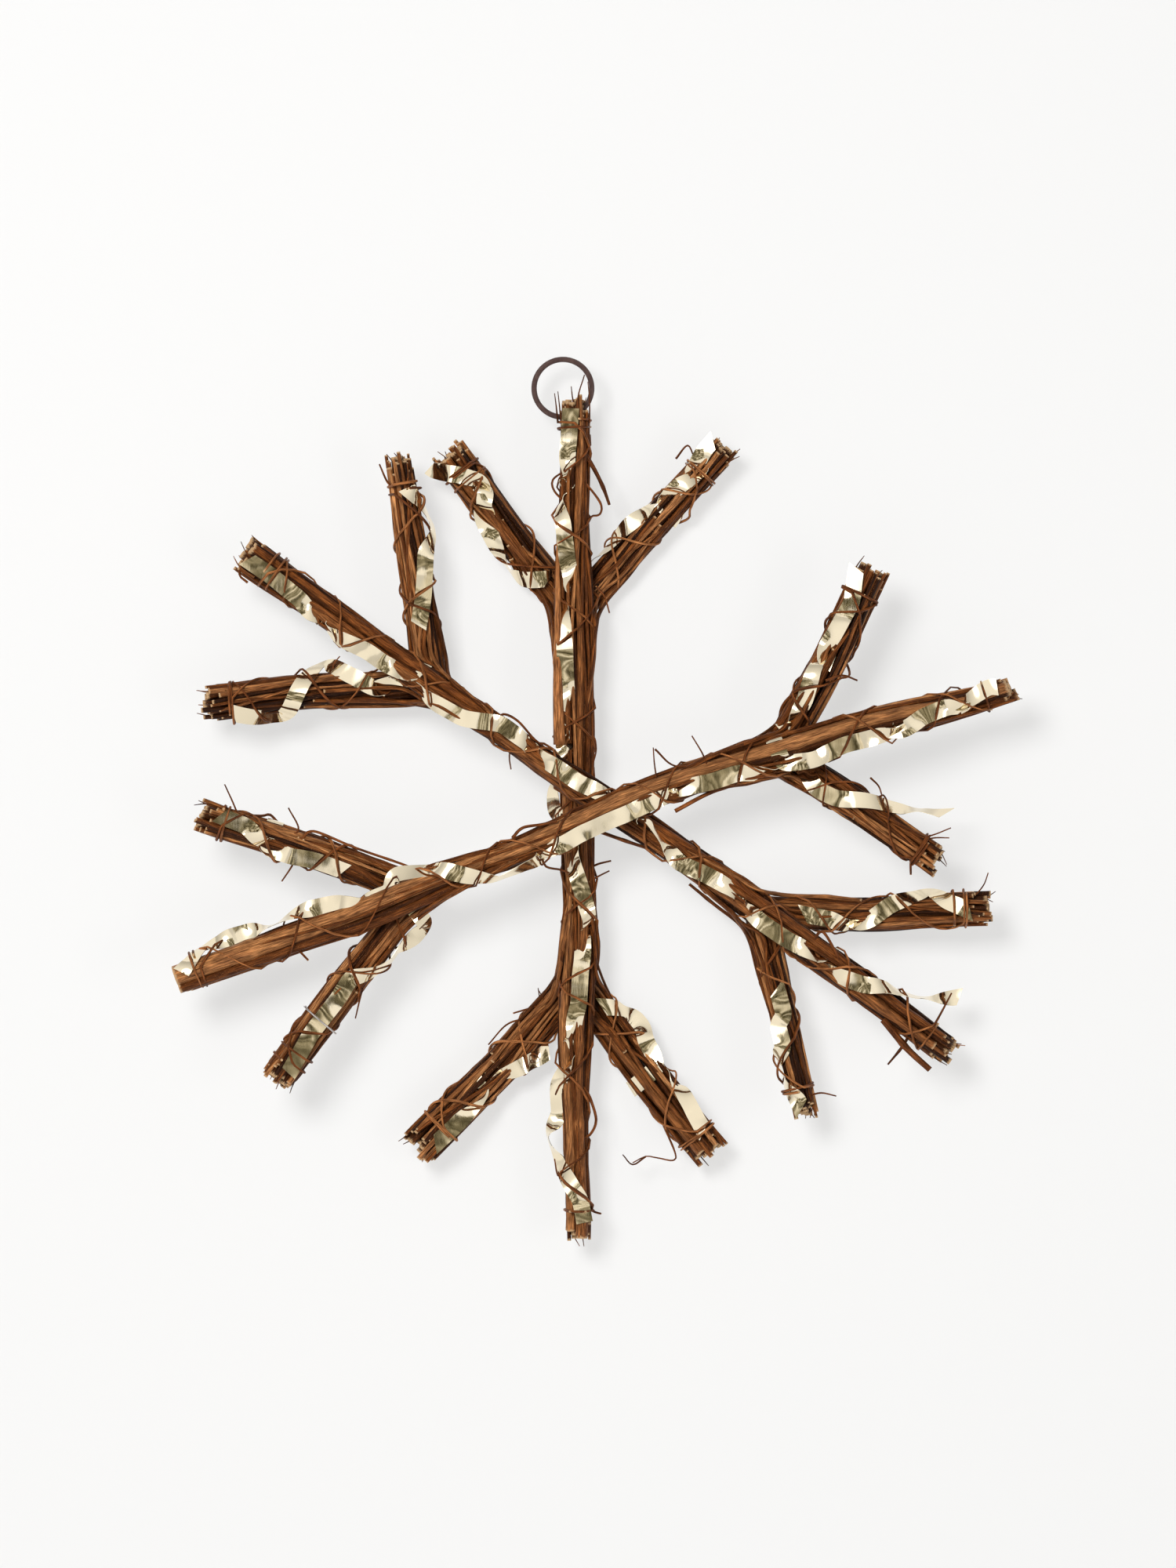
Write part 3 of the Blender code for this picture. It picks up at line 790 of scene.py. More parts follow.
def knotted_radii(first, last, distances, chance):
    """Radii in millimetres that taper from first to last and swell at each knot."""
    length = distances[-1]
    radii = first + (last - first) * distances / length
    for knot in knots_along(length, chance):
        swell = chance.uniform(*KNOT_SWELL)
        radii = radii * (1 + swell * np.exp(-(((distances - knot) / KNOT_LENGTH) ** 2)))
    return radii


def bundle_twig(bundle, name, stock, phase, depth, sizes, tone, drift, ends, chance):
    """One twig: its phase, how deep its middle lies under the envelope in metres, and its ends."""
    steps = max(int(bundle.length / TWIG_STEP), 12)
    waves = [(chance.uniform(0.6, 2.6), chance.uniform(0, math.tau)) for _ in range(4)]
    swing = chance.uniform(0.05, 0.16)
    points = []
    for i in range(steps + 1):
        share = ends[0] + (ends[1] - ends[0]) * i / steps
        inside = min(max(share, 0.0), 1.0)
        angle = math.tau * share * bundle.length / WANDER_LENGTH
        turns = [math.sin(rate * angle + start) for rate, start in waves]
        turned = phase + drift * (share - 0.5) + swing * (turns[0] + 0.6 * turns[1])
        sunk = depth + WANDER_DEPTH * (1 + turns[2])
        point = bundle.surface(inside, turned, -sunk) + bundle.along * ((share - inside) * bundle.length)
        points.append(point)
    radii = knotted_radii(sizes[0] / 2, sizes[1] / 2, distances_along(points), chance)
    return lay_twig(name, stock, points, radii, tone, chance, (BARK, CUT_WOOD))


def twig_ends(bundle, chance):
    """Shares of the two ends, ragged where they are cut."""
    at_first = -chance.uniform(*bundle.ragged_first) * RAGGED_END / bundle.length
    if isinstance(bundle, Branch):
        return at_first, 1.0 - chance.uniform(0.0, 0.004) / bundle.length
    return at_first, 1.0 + chance.uniform(-0.8, 1.0) * RAGGED_END / bundle.length


print("steps of a long twig:", int(bundles["vertical"].length / TWIG_STEP))

# %% [markdown]
# ## Strands and splinters
#
# At a fork some strands of the short bundle bend into the flank of the long one, as roots run into
# a trunk. At the cut ends thin splinters stick out past the twigs. Both go where no sine wave would
# take them, so their ways are smooth curves through a few chosen knots.

# %% Strands and splinters
FORK_STRANDS = 4
STRAND_SIZES = (1.7, 3.2)
SPLINTERS = 4
SPLINTER_ROOT = 0.010


def smooth_route(knots, spacing=0.0025):
    """Points along a Catmull-Rom curve through the knots."""
    knots = [np.asarray(knot, float) for knot in knots]
    ends = [2 * knots[0] - knots[1], *knots, 2 * knots[-1] - knots[-2]]
    points = []
    for a, b, c, d in zip(ends, ends[1:], ends[2:], ends[3:]):
        count = max(int(np.linalg.norm(c - b) / spacing), 2)
        for t in np.arange(count) / count:
            points.append(0.5 * (2 * b + (c - a) * t + (2 * a - 5 * b + 4 * c - d) * t**2
                                 + (3 * b - a - 3 * c + d) * t**3))
    points.append(knots[-1])
    return np.array(points)


def fork_strand(branch, chance):
    """A thin twig that leaves the branch and bends into the flank of its arm, towards the middle."""
    arm = branch.arm
    inwards = 1 if arm.middle_share > branch.fork_share else -1
    flank = math.copysign(1, float(np.dot(branch.first - branch.last, arm.side)))
    inner = math.copysign(1, float(np.dot(branch.side, arm.along * inwards)))
    size = chance.uniform(*STRAND_SIZES)
    lean = chance.uniform(-15, 75)
    knots = []
    for share, lift in ((chance.uniform(0.40, 0.60), -0.002), (0.70, 0.0002), (0.87, 0.0008)):
        knots.append(branch.surface(share, math.radians(inner * (lean + 12 * chance.uniform(-1, 1))), lift))
    start, spread = chance.uniform(0.006, 0.016), chance.uniform(0.013, 0.019)
    turned = flank * chance.uniform(58, 88)
    for step, lift in ((0, 0.0012), (1, 0.0006), (2, -0.0004), (3, -0.003)):
        share = branch.fork_share + inwards * (start + step * spread) / arm.length
        knots.append(arm.surface(share, math.radians(turned - flank * 11 * step), lift))
    points = smooth_route(knots)
    radii = knotted_radii(size / 2, size * 0.35, distances_along(points), chance)
    return lay_twig("strand", short_twig, points, radii, chance.uniform(0.2, 0.75), chance, (BARK, CUT_WOOD))


def splinter(bundle, at_last, chance):
    """A thin broken end that sticks out past the cut twigs."""
    way = bundle.along if at_last else -bundle.along
    share = 1.0 if at_last else 0.0
    phase = chance.uniform(0, math.tau)
    depth = chance.uniform(0.0005, 0.007)
    root = bundle.surface(share, phase, -depth) - way * SPLINTER_ROOT
    reach = SPLINTER_ROOT + chance.uniform(0.002, 0.010)
    stray = bundle.side * chance.uniform(-1, 1) + FRONT * chance.uniform(-0.6, 0.6)
    points = smooth_route([root, root + way * reach * 0.6, root + way * reach + stray * reach * 0.22])
    radii = np.linspace(chance.uniform(0.5, 1.0), 0.22, len(points))
    return lay_twig("splinter", short_filler, points, radii, chance.uniform(0.1, 0.7), chance,
                    (BARK, CUT_WOOD), 0.5)


print("at each fork", FORK_STRANDS, "strands, at each cut end", SPLINTERS, "splinters")

# %% [markdown]
# ## The twigs of a bundle
#
# Round the rim of the envelope lie the twigs that show, shoulder to shoulder, each just inside it.
# The thickest ones that the real flake shows are listed and placed first, and the others leave them
# room. Fewer and thicker ones fill the middle, and one or two thin ones are laid over the rest. To
# scatter the twigs at random would be quicker, but then some would run into each other and others
# would leave holes.

# %% Round the rim, inside and over
ARM_TWIG_SIZES = (1.7, 3.7)
BRANCH_TWIG_SIZES = (1.7, 3.3)
SHOULDER_OVERLAP = 0.94
ROOM_OVERLAP = 0.6
FILLER_SIZES = (4.0, 5.5)
FILLER_RINGS = ((0.0046, 7), (0.0088, 2))
OVER_SIZES = (1.6, 2.4)
# Phase in degrees, diameter at the first and the last end in millimetres, and tone.
THICK_TWIGS = {
    "rising": ((34.0, 12.5, 7.5, 0.82), (-62.0, 6.0, 5.0, 0.35)),
    "vertical": ((-52.0, 4.0, 6.0, 0.75), (20.0, 2.6, 7.2, 0.60)),
    "falling": ((48.0, 6.5, 5.5, 0.50), (-28.0, 6.0, 5.5, 0.60)),
    "upper_right_up": ((-55.0, 7.0, 6.0, 0.55),),
    "bottom_right": ((25.0, 6.0, 5.5, 0.60),),
    "top_left": ((-30.0, 6.0, 5.0, 0.55),),
}
TWIG_SIZES = {"vertical": (1.4, 2.8), "upper_left_up": (1.4, 2.9), "lower_right_down": (1.4, 2.9)}


def rim_twigs(name, bundle, stock, drift, chance):
    """The listed thick twigs, and the others round the rim wherever there is room."""
    laid = []
    taken = []
    for phase, first, last, tone in THICK_TWIGS.get(name, ()):
        phase = math.radians(phase)
        size = (first + last) / 2000
        ends = (-0.1 * RAGGED_END / bundle.length, twig_ends(bundle, chance)[1])
        laid.append(bundle_twig(bundle, "twig", stock, phase, size / 2, (first, last), tone, 0.1 * drift,
                                ends, chance))
        taken.append((phase, size / (BUNDLE_DEPTH - size)))
    sizes = TWIG_SIZES.get(name, ARM_TWIG_SIZES if isinstance(bundle, Arm) else BRANCH_TWIG_SIZES)
    phase = 0.0
    while phase < math.tau:
        size = chance.uniform(*sizes)
        half_angle = size / 1000 / (BUNDLE_DEPTH - size / 1000)
        middle = phase + half_angle
        gaps = [abs((middle - other + math.pi) % math.tau - math.pi) - wide for other, wide in taken]
        if not any(gap < half_angle * ROOM_OVERLAP for gap in gaps):
            tone = min(max(chance.gauss(0.43, 0.34), 0.0), 1.0)
            end = size * chance.uniform(0.75, 1.15)
            laid.append(bundle_twig(bundle, "twig", stock, middle, size / 2000, (size, end), tone, drift,
                                    twig_ends(bundle, chance), chance))
        phase += 2 * half_angle * SHOULDER_OVERLAP
    return laid


def inner_twigs(bundle, stock, drift, chance):
    """Thick twigs in two rings, which fill the bundle, near-black: painted shade in its gaps."""
    laid = []
    for depth, count in FILLER_RINGS:
        for k in range(count):
            phase = math.tau * (k + chance.uniform(-0.2, 0.2)) / count
            size = chance.uniform(*FILLER_SIZES)
            ends = [min(bundle.ragged_first[1], chance.uniform(0.1, 0.7)), 1.0]
            ends[0] *= -RAGGED_END / bundle.length
            if isinstance(bundle, Arm):
                ends[1] = 1.0 + chance.uniform(0.1, 0.7) * RAGGED_END / bundle.length
            # Tone 0.1 on every filler is painted shade: it darkens the gaps between the rim twigs.
            laid.append(bundle_twig(bundle, "filler", stock, phase, depth, (size, size), 0.1, drift,
                                    ends, chance))
    return laid


def over_twig(bundle, stock, chance):
    """A thin twig that sweeps across the front of the others."""
    size = chance.uniform(*OVER_SIZES)
    sweep = chance.choice((-1, 1)) * chance.uniform(1.4, 2.4)
    return bundle_twig(bundle, "over", stock, chance.uniform(-0.7, 0.7), size / 4000, (size, size * 0.8),
                       chance.uniform(0.3, 0.8), sweep, twig_ends(bundle, chance), chance)


print("thick twigs set by hand:", sum(map(len, THICK_TWIGS.values())))


# %% Lay every bundle
def lay_bundle(name, bundle, seed):
    chance = random.Random(seed)
    is_arm = isinstance(bundle, Arm)
    stock, filler = (long_twig, long_filler) if is_arm else (short_twig, short_filler)
    drift = bundle.hand * (0.9 if is_arm else 0.45)
    laid = rim_twigs(name, bundle, stock, drift, chance)
    laid.extend(inner_twigs(bundle, filler, drift, chance))
    laid.extend(over_twig(bundle, stock, chance) for _ in range(2 if is_arm else 1))
    for _ in range(SPLINTERS):
        if bundle.ragged_first[1] > 0:
            laid.append(splinter(bundle, False, chance))
        if is_arm:
            laid.append(splinter(bundle, True, chance))
    if not is_arm:
        laid.extend(fork_strand(bundle, chance) for _ in range(FORK_STRANDS))
    return join_laid(f"twigs_{name}", laid)


pieces = []
for seed, (name, bundle) in enumerate(bundles.items(), 100):
    node = f"arm_{name}" if name in arms else f"branch_{name}"
    twigs = lay_bundle(name, bundle, seed)
    pieces.append((twigs, "twig_bark", (node,)))
    print(twigs.name, "faces", len(twigs.data.polygons))

# %% [markdown]
# ## Gold ribbon
#
# The ribbon is a strip of film laid along the front of each bundle. It slips under a twig every few
# centimetres, sinking and rolling so that one edge goes in first, sometimes goes round behind, and
# stands off in slack loops. Film is straight across and only creases along straight lines, so a
# Curve modifier, which would twist it like a bar, is not the way. The strip is a grid primitive
# whose rows are set one by one across its route. Each of its edges rises and falls between creases
# of its own, so the film tips a little one way and then the other: one stretch mirrors the bright
# studio and the next the dark card. Solidify then gives the film its thickness.

# %% Routes of the ribbons
# One bracket is one stretch that shows in front. Its points are (share, phase in degrees, lift in
# millimetres, facing in degrees). Lift and facing are given only where the film stands off or
# turns over.
RIBBONS = {
    "vertical": (
        ((0.0, -10, 1.2, 0), (0.045, -18, 1.2, -2), (0.074, -29, 1.2, -16)),
        ((0.114, -60), (0.138, -33), (0.208, -10)),
        ((0.252, -33), (0.295, -25), (0.357, -26)),
        ((0.405, -42), (0.419, -32)),
        ((0.462, -90, 3.3, -50), (0.491, -90, 3.1, -40)),
        ((0.548, -21), (0.581, 3), (0.629, 36)),
        ((0.648, 17), (0.686, 8), (0.724, 8), (0.753, -9)),
        ((0.800, -31), (0.824, -69, 1.5, -6), (0.857, -90, 1.5, -8), (0.872, -90, 6, -30),
         (0.884, -90, 9, -80), (0.900, -90, 7, -70), (0.915, -90, 3, -40), (0.934, -42), (0.962, 9),
         (0.991, 24)),
    ),
    "falling": (
        ((0.0, -12), (0.037, -11), (0.079, -17), (0.101, -40)),
        ((0.126, -59), (0.177, -28, 1.2, 2), (0.225, -30, 1.2, -3)),
        ((0.260, -50), (0.313, -39), (0.356, 25), (0.391, 21)),
        ((0.415, 10), (0.472, 6), (0.506, 25)),
        ((0.560, 32, 1.0, 82), (0.592, -5, 1.0, 66), (0.620, -28), (0.653, -7), (0.690, 5)),
        ((0.715, -24), (0.771, -19), (0.808, -9)),
        ((0.841, -24), (0.879, 8), (0.918, 70, 1.5, 78), (0.938, 90, 4, 84), (0.955, 90, 9, 76),
         (0.968, 90, 15, 50), (0.981, 90, 21, 30)),
    ),
    "rising": (
        ((0.006, 15), (0.024, 46, 1.2, 60), (0.036, 84, 1.6, 88), (0.050, 88, 3.5, 60),
         (0.072, 84, 3.6, 0), (0.097, 80, 2.6, 8), (0.113, 80, 2.0, 84), (0.128, 82, 2.0, 86),
         (0.145, 86, 3.0, 60), (0.172, 84, 3.2, 0), (0.198, 70, 2.2, 6), (0.216, 50)),
        ((0.273, 90, 4, 40), (0.313, 61), (0.350, -12), (0.383, -75, 1.5), (0.431, -70, 1.5)),
        ((0.448, -44), (0.489, -28), (0.538, -31), (0.596, -28)),
        ((0.616, -20), (0.653, -25), (0.682, -21), (0.720, -56)),
        ((0.744, -45), (0.773, -42), (0.805, -30), (0.840, -36), (0.863, -41)),
        ((0.871, -49), (0.900, -10), (0.932, 3), (0.944, -15)),
        ((0.953, 1), (0.984, 34), (0.994, 21)),
    ),
    "top_left": (
        ((-0.030, -90, 4, -30), (0.092, -19), (0.197, 26)),
        ((0.235, 20), (0.300, -12)),
        ((0.345, -44), (0.435, -48, 1.2, -4), (0.520, -60, 1.2, -35), (0.580, -74, 2, -78),
         (0.650, -82, 2.5, -86), (0.715, -52, 2, -45), (0.793, 9)),
    ),
    "top_right": (
        ((-0.019, -43), (0.126, -40)),
        ((0.149, -3), (0.317, -31)),
        ((0.401, -49), (0.528, -54), (0.655, -67), (0.743, -90, 1.8), (0.808, -90, 1)),
    ),
    "bottom_left": (
        ((0.037, -24), (0.190, -28), (0.318, -24)),
        ((0.462, -28), (0.585, -51), (0.640, -64, 3.5, -6), (0.700, -72, 4.5, 4)),
    ),
    "bottom_right": (
        ((0.062, -23), (0.255, -46), (0.383, -71)),
        ((0.488, -56, 1.2, -78), (0.581, -57, 2, -22), (0.640, -80, 4, -8), (0.700, -85, 3.5, -12),
         (0.748, -73, 2, -72), (0.841, -10)),
    ),
    "upper_left_up": (((0.107, 12, 1.2, 5), (0.180, 55, 2, 60), (0.243, 90, 3, 88),
                       (0.323, 90, 4.5, 88), (0.365, 70, 3, 78), (0.410, 44, 1.5, 20), (0.596, 17),
                       (0.732, -12)),),
    "upper_left_side": (
        ((0.092, -34), (0.279, -90, 1, -40), (0.313, -90, 2, -50), (0.392, -3), (0.465, 63, 2, 70),
         (0.505, 88, 3.2, 84), (0.545, 86, 3.2, 30), (0.610, 48, 2.2, 4), (0.690, 18, 1.6, 0),
         (0.747, -6)),
        ((0.784, 6), (0.874, 17)),
    ),
    "lower_right_side": (
        ((0.052, 9), (0.165, -26), (0.235, -70), (0.414, -29), (0.557, 35)),
        ((0.610, 36), (0.681, 15), (0.815, 2)),
    ),
    "lower_right_down": (((-0.008, 14), (0.060, 22), (0.140, 60, 1.5, 70), (0.246, 80, 1.5, 84),
                          (0.316, 25), (0.438, 28),
                          (0.470, -3), (0.620, 2)),),
    "lower_left_up": (
        ((0.046, 21), (0.189, 13), (0.272, -25)),
        ((0.324, -44), (0.502, -26), (0.662, -24)),
    ),
    "lower_left_down": (((0.020, -18), (0.056, -15), (0.226, -2), (0.422, -6), (0.522, 1),
                         (0.600, -45, 1.5, -70), (0.680, -70, 2, -84), (0.740, -60, 3, -80),
                         (0.830, -80, 4.5, -20), (0.895, -85, 5.5, -60), (0.925, -20, 4)),),
    "upper_right_up": (
        ((-0.007, -47), (0.160, -11), (0.362, -20), (0.432, -26)),
        ((0.503, -32), (0.705, -7), (0.792, -5)),
        ((0.858, -31), (0.898, -25)),
    ),
    "upper_right_down": (((0.064, -90, 17.5, -62), (0.130, -90, 12, -74), (0.215, -90, 7, -85),
                          (0.290, -85, 2.5, -50), (0.356, -60), (0.609, 19), (0.728, 26), (0.870, -13)),),
}
# After these stretches, counted from 0, the film goes round behind its bundle.
BEHIND = {
    "vertical": (1, 2), "falling": (1, 3, 5), "rising": (3, 5), "top_left": (0,), "top_right": (1,),
    "bottom_left": (0,), "bottom_right": (0,), "upper_left_side": (0,), "lower_right_side": (0,),
    "lower_left_up": (0,), "upper_right_up": (0,),
}
print("ribbon stretches:", sum(map(len, RIBBONS.values())))

# %% From rows to a route
RIBBON_STEP = 0.0015
UNDER_TWIGS = -3.6
SLIP_LENGTH = 0.0055
SLIP_ROLL = 50
TAPER_LENGTH = 0.011
TAPER_LIFT = -1.2
TAPER_ROLL = 42
ROUND_THE_BACK = ((0.3, UNDER_TWIGS), (0.42, 1.2), (0.58, 1.2), (0.7, UNDER_TWIGS))
LIFT_IN_FRONT = 1000 * RIBBON_LIFT


def facing_of(phase):
    """Film pressed on the front by hand faces more forwards than the twigs under it."""
    return phase * (0.35 + 0.65 * smooth_step((abs(phase) - 35) / 45))


def tapered(rows, length, hand):
    """Rows whose last one is sunk and rolled, so that the film goes under the twigs edge first."""
    before, last = rows[-2:]
    if abs(last[2] - LIFT_IN_FRONT) > 0.01:
        return rows
    gap = abs(last[0] - before[0]) * length
    rolled = [last[0], last[1], TAPER_LIFT, last[3] + TAPER_ROLL * hand]
    if gap < 1.3 * TAPER_LENGTH:
        rolled[2] = 0.3
        return [*rows[:-1], rolled]
    part = 1 - TAPER_LENGTH / gap
    flat = [a + part * (b - a) for a, b in zip(before, last)]
    return [*rows[:-1], flat, rolled]


def ribbon_knots(name, bundle):
    """Knots (share, phase, lift, facing) of the whole ribbon, with its slips under and behind."""
    slip = SLIP_LENGTH / bundle.length
    knots = []
    turn = 0
    for number, stretch in enumerate(RIBBONS[name]):
        rows = []
        for share, phase, *more in stretch:
            lift = more[0] if more else LIFT_IN_FRONT
            facing = more[1] if len(more) > 1 else facing_of(phase)
            rows.append([share, phase + turn, lift, facing + turn])
        if number + 1 < len(RIBBONS[name]):
            rows = tapered(rows, bundle.length, bundle.hand)
        if knots:
            rows = tapered(rows[::-1], bundle.length, -bundle.hand)[::-1]
            left = knots[-1]
            gone, back = list(left), list(rows[0])
            gone[0] += slip
            back[0] -= slip
            gone[2] = back[2] = UNDER_TWIGS
            gone[3] += (SLIP_ROLL - TAPER_ROLL) * bundle.hand
            back[3] -= (SLIP_ROLL - TAPER_ROLL) * bundle.hand
            between_them = [gone, back]
            if number - 1 in BEHIND.get(name, ()):
                turn += 360 * bundle.hand
                for row in (*rows, back):
                    row[1] += 360 * bundle.hand
                    row[3] += 360 * bundle.hand
                round_back = []
                for part, lift in ROUND_THE_BACK:
                    share = gone[0] + part * (back[0] - gone[0])
                    phase = gone[1] + part * (back[1] - gone[1])
                    round_back.append([share, phase, lift, phase])
                between_them = [gone, *round_back, back]
            knots.extend(between_them)
        knots.extend(rows)
    return np.array(knots, float)


def smoothed(values, reach):
    kernel = np.hanning(2 * reach + 3)[1:-1]
    padded = np.pad(values, reach, mode="edge")
    return np.convolve(padded, kernel / kernel.sum(), mode="valid")


def ribbon_route(name, bundle):
    knots = ribbon_knots(name, bundle)
    places = [bundle.surface(row[0], math.radians(row[1]), row[2] / 1000) for row in knots]
    spans = np.linalg.norm(np.diff(places, axis=0), axis=1)
    turned = np.abs(np.diff(np.radians(knots[:, 1]))) * BUNDLE_DEPTH / 2
    at = np.r_[0.0, np.cumsum(np.maximum(spans, turned))]
    steps = np.linspace(0.0, at[-1], int(at[-1] / RIBBON_STEP) + 2)
    shares, phases, lifts, facings = (smoothed(np.interp(steps, at, column), 3) for column in knots.T)
    points = [bundle.surface(s, math.radians(p), l / 1000) for s, p, l in zip(shares, phases, lifts)]
    outs = [bundle.outward(s, math.radians(f)) for s, f in zip(shares, facings)]
    return points, outs, lifts


for name in ("vertical", "lower_left_down"):
    print(name, "ribbon steps", len(ribbon_route(name, bundles[name])[0]))

# %% Wind the ribbons
CREASE_SPACING = (0.009, 0.022)
CREASE_HEIGHT = 0.0016
CREASE_ROLL = 0.65
CREASE_SLANT = 0.0035
CUT_SLANT = 0.0045
CUT_REACH = 0.008
RIBBON_ROWS_ACROSS = 4
CREASE_SOFTNESS = 3


def tangents(points):
    ends = [points[0], *points, points[-1]]
    return [unit(ends[i + 2] - ends[i]) for i in range(len(points))]


def creases(length, chance):
    """Creases along the film: their places, their slants, and how high its two edges lie at each."""
    places, left, right = [0.0], [0.0], [0.0]
    sign = chance.choice((-1, 1))
    while places[-1] < length:
        places.append(places[-1] + chance.uniform(*CREASE_SPACING))
        height = sign * CREASE_HEIGHT * chance.uniform(0.2, 1.0)
        roll = CREASE_HEIGHT * chance.uniform(-CREASE_ROLL, CREASE_ROLL)
        left.append(height + roll)
        right.append(height - roll)
        sign = -sign
    slants = np.array([chance.uniform(-1, 1) * CREASE_SLANT for _ in places])
    return np.array(places), slants, np.array(left), np.array(right)


def lay_strip(name, points, outs, width, material, chance):
    """A film strip of the given width along the points, facing outs and creased."""
    bpy.ops.object.select_all(action="DESELECT")
    bpy.ops.mesh.primitive_grid_add(
        x_subdivisions=len(points) - 1, y_subdivisions=RIBBON_ROWS_ACROSS, size=1.0
    )
    strip = bpy.context.object
    strip.name = strip.data.name = name
    mesh = strip.data
    places = np.zeros(len(mesh.vertices) * 3)
    mesh.vertices.foreach_get("co", places)
    places = places.reshape(-1, 3)
    rows = np.rint((places[:, 0] + 0.5) * (len(points) - 1)).astype(int)
    points, outs = np.asarray(points), np.asarray(outs)
    ways = tangents(points)
    across = np.array([unit(np.cross(way, out)) for way, out in zip(ways, outs)])
    raised = np.cross(across, ways)
    run = distances_along(points)
    marks, slants, left, right = creases(run[-1], chance)
    side = 2 * places[:, 1]
    at = run[rows]
    edge_left = smoothed(np.interp(run, marks - slants, left), CREASE_SOFTNESS)
    edge_right = smoothed(np.interp(run, marks + slants, right), CREASE_SOFTNESS)
    height = edge_left[rows] * (1 - side) / 2 + edge_right[rows] * (1 + side) / 2
    near_end = np.clip(1 - np.minimum(at, run[-1] - at) / CUT_REACH, 0.0, 1.0)
    sheared = chance.uniform(-1, 1) * CUT_SLANT * side * near_end
    placed = points[rows] - across[rows] * (places[:, 1] * width)[:, None] + raised[rows] * height[:, None]
    placed += np.asarray(ways)[rows] * sheared[:, None]
    mesh.vertices.foreach_set("co", placed.ravel())
    mesh.update()
    for face in mesh.polygons:
        face.use_smooth = True
    solid = strip.modifiers.new("film", "SOLIDIFY")
    solid.thickness = RIBBON_THICKNESS
    solid.offset = 1.0
    bpy.ops.object.modifier_apply(modifier="film")
    bpy.ops.object.shade_smooth_by_angle(angle=math.radians(40))
    mesh.materials.append(material)
    return strip


routes = {}
for seed, (name, bundle) in enumerate(bundles.items(), 200):
    points, outs, lifts = ribbon_route(name, bundle)
    routes[name] = np.array([point for point, lift in zip(points, lifts) if lift > 0.0])
    ribbon = lay_strip(f"ribbon_{name}", points, outs, RIBBON_WIDTH, GOLD, random.Random(seed))
    pieces.append((ribbon, "gold_ribbon", (f"gold_ribbon_{name}",)))
print("ribbons wound:", len(bundles))
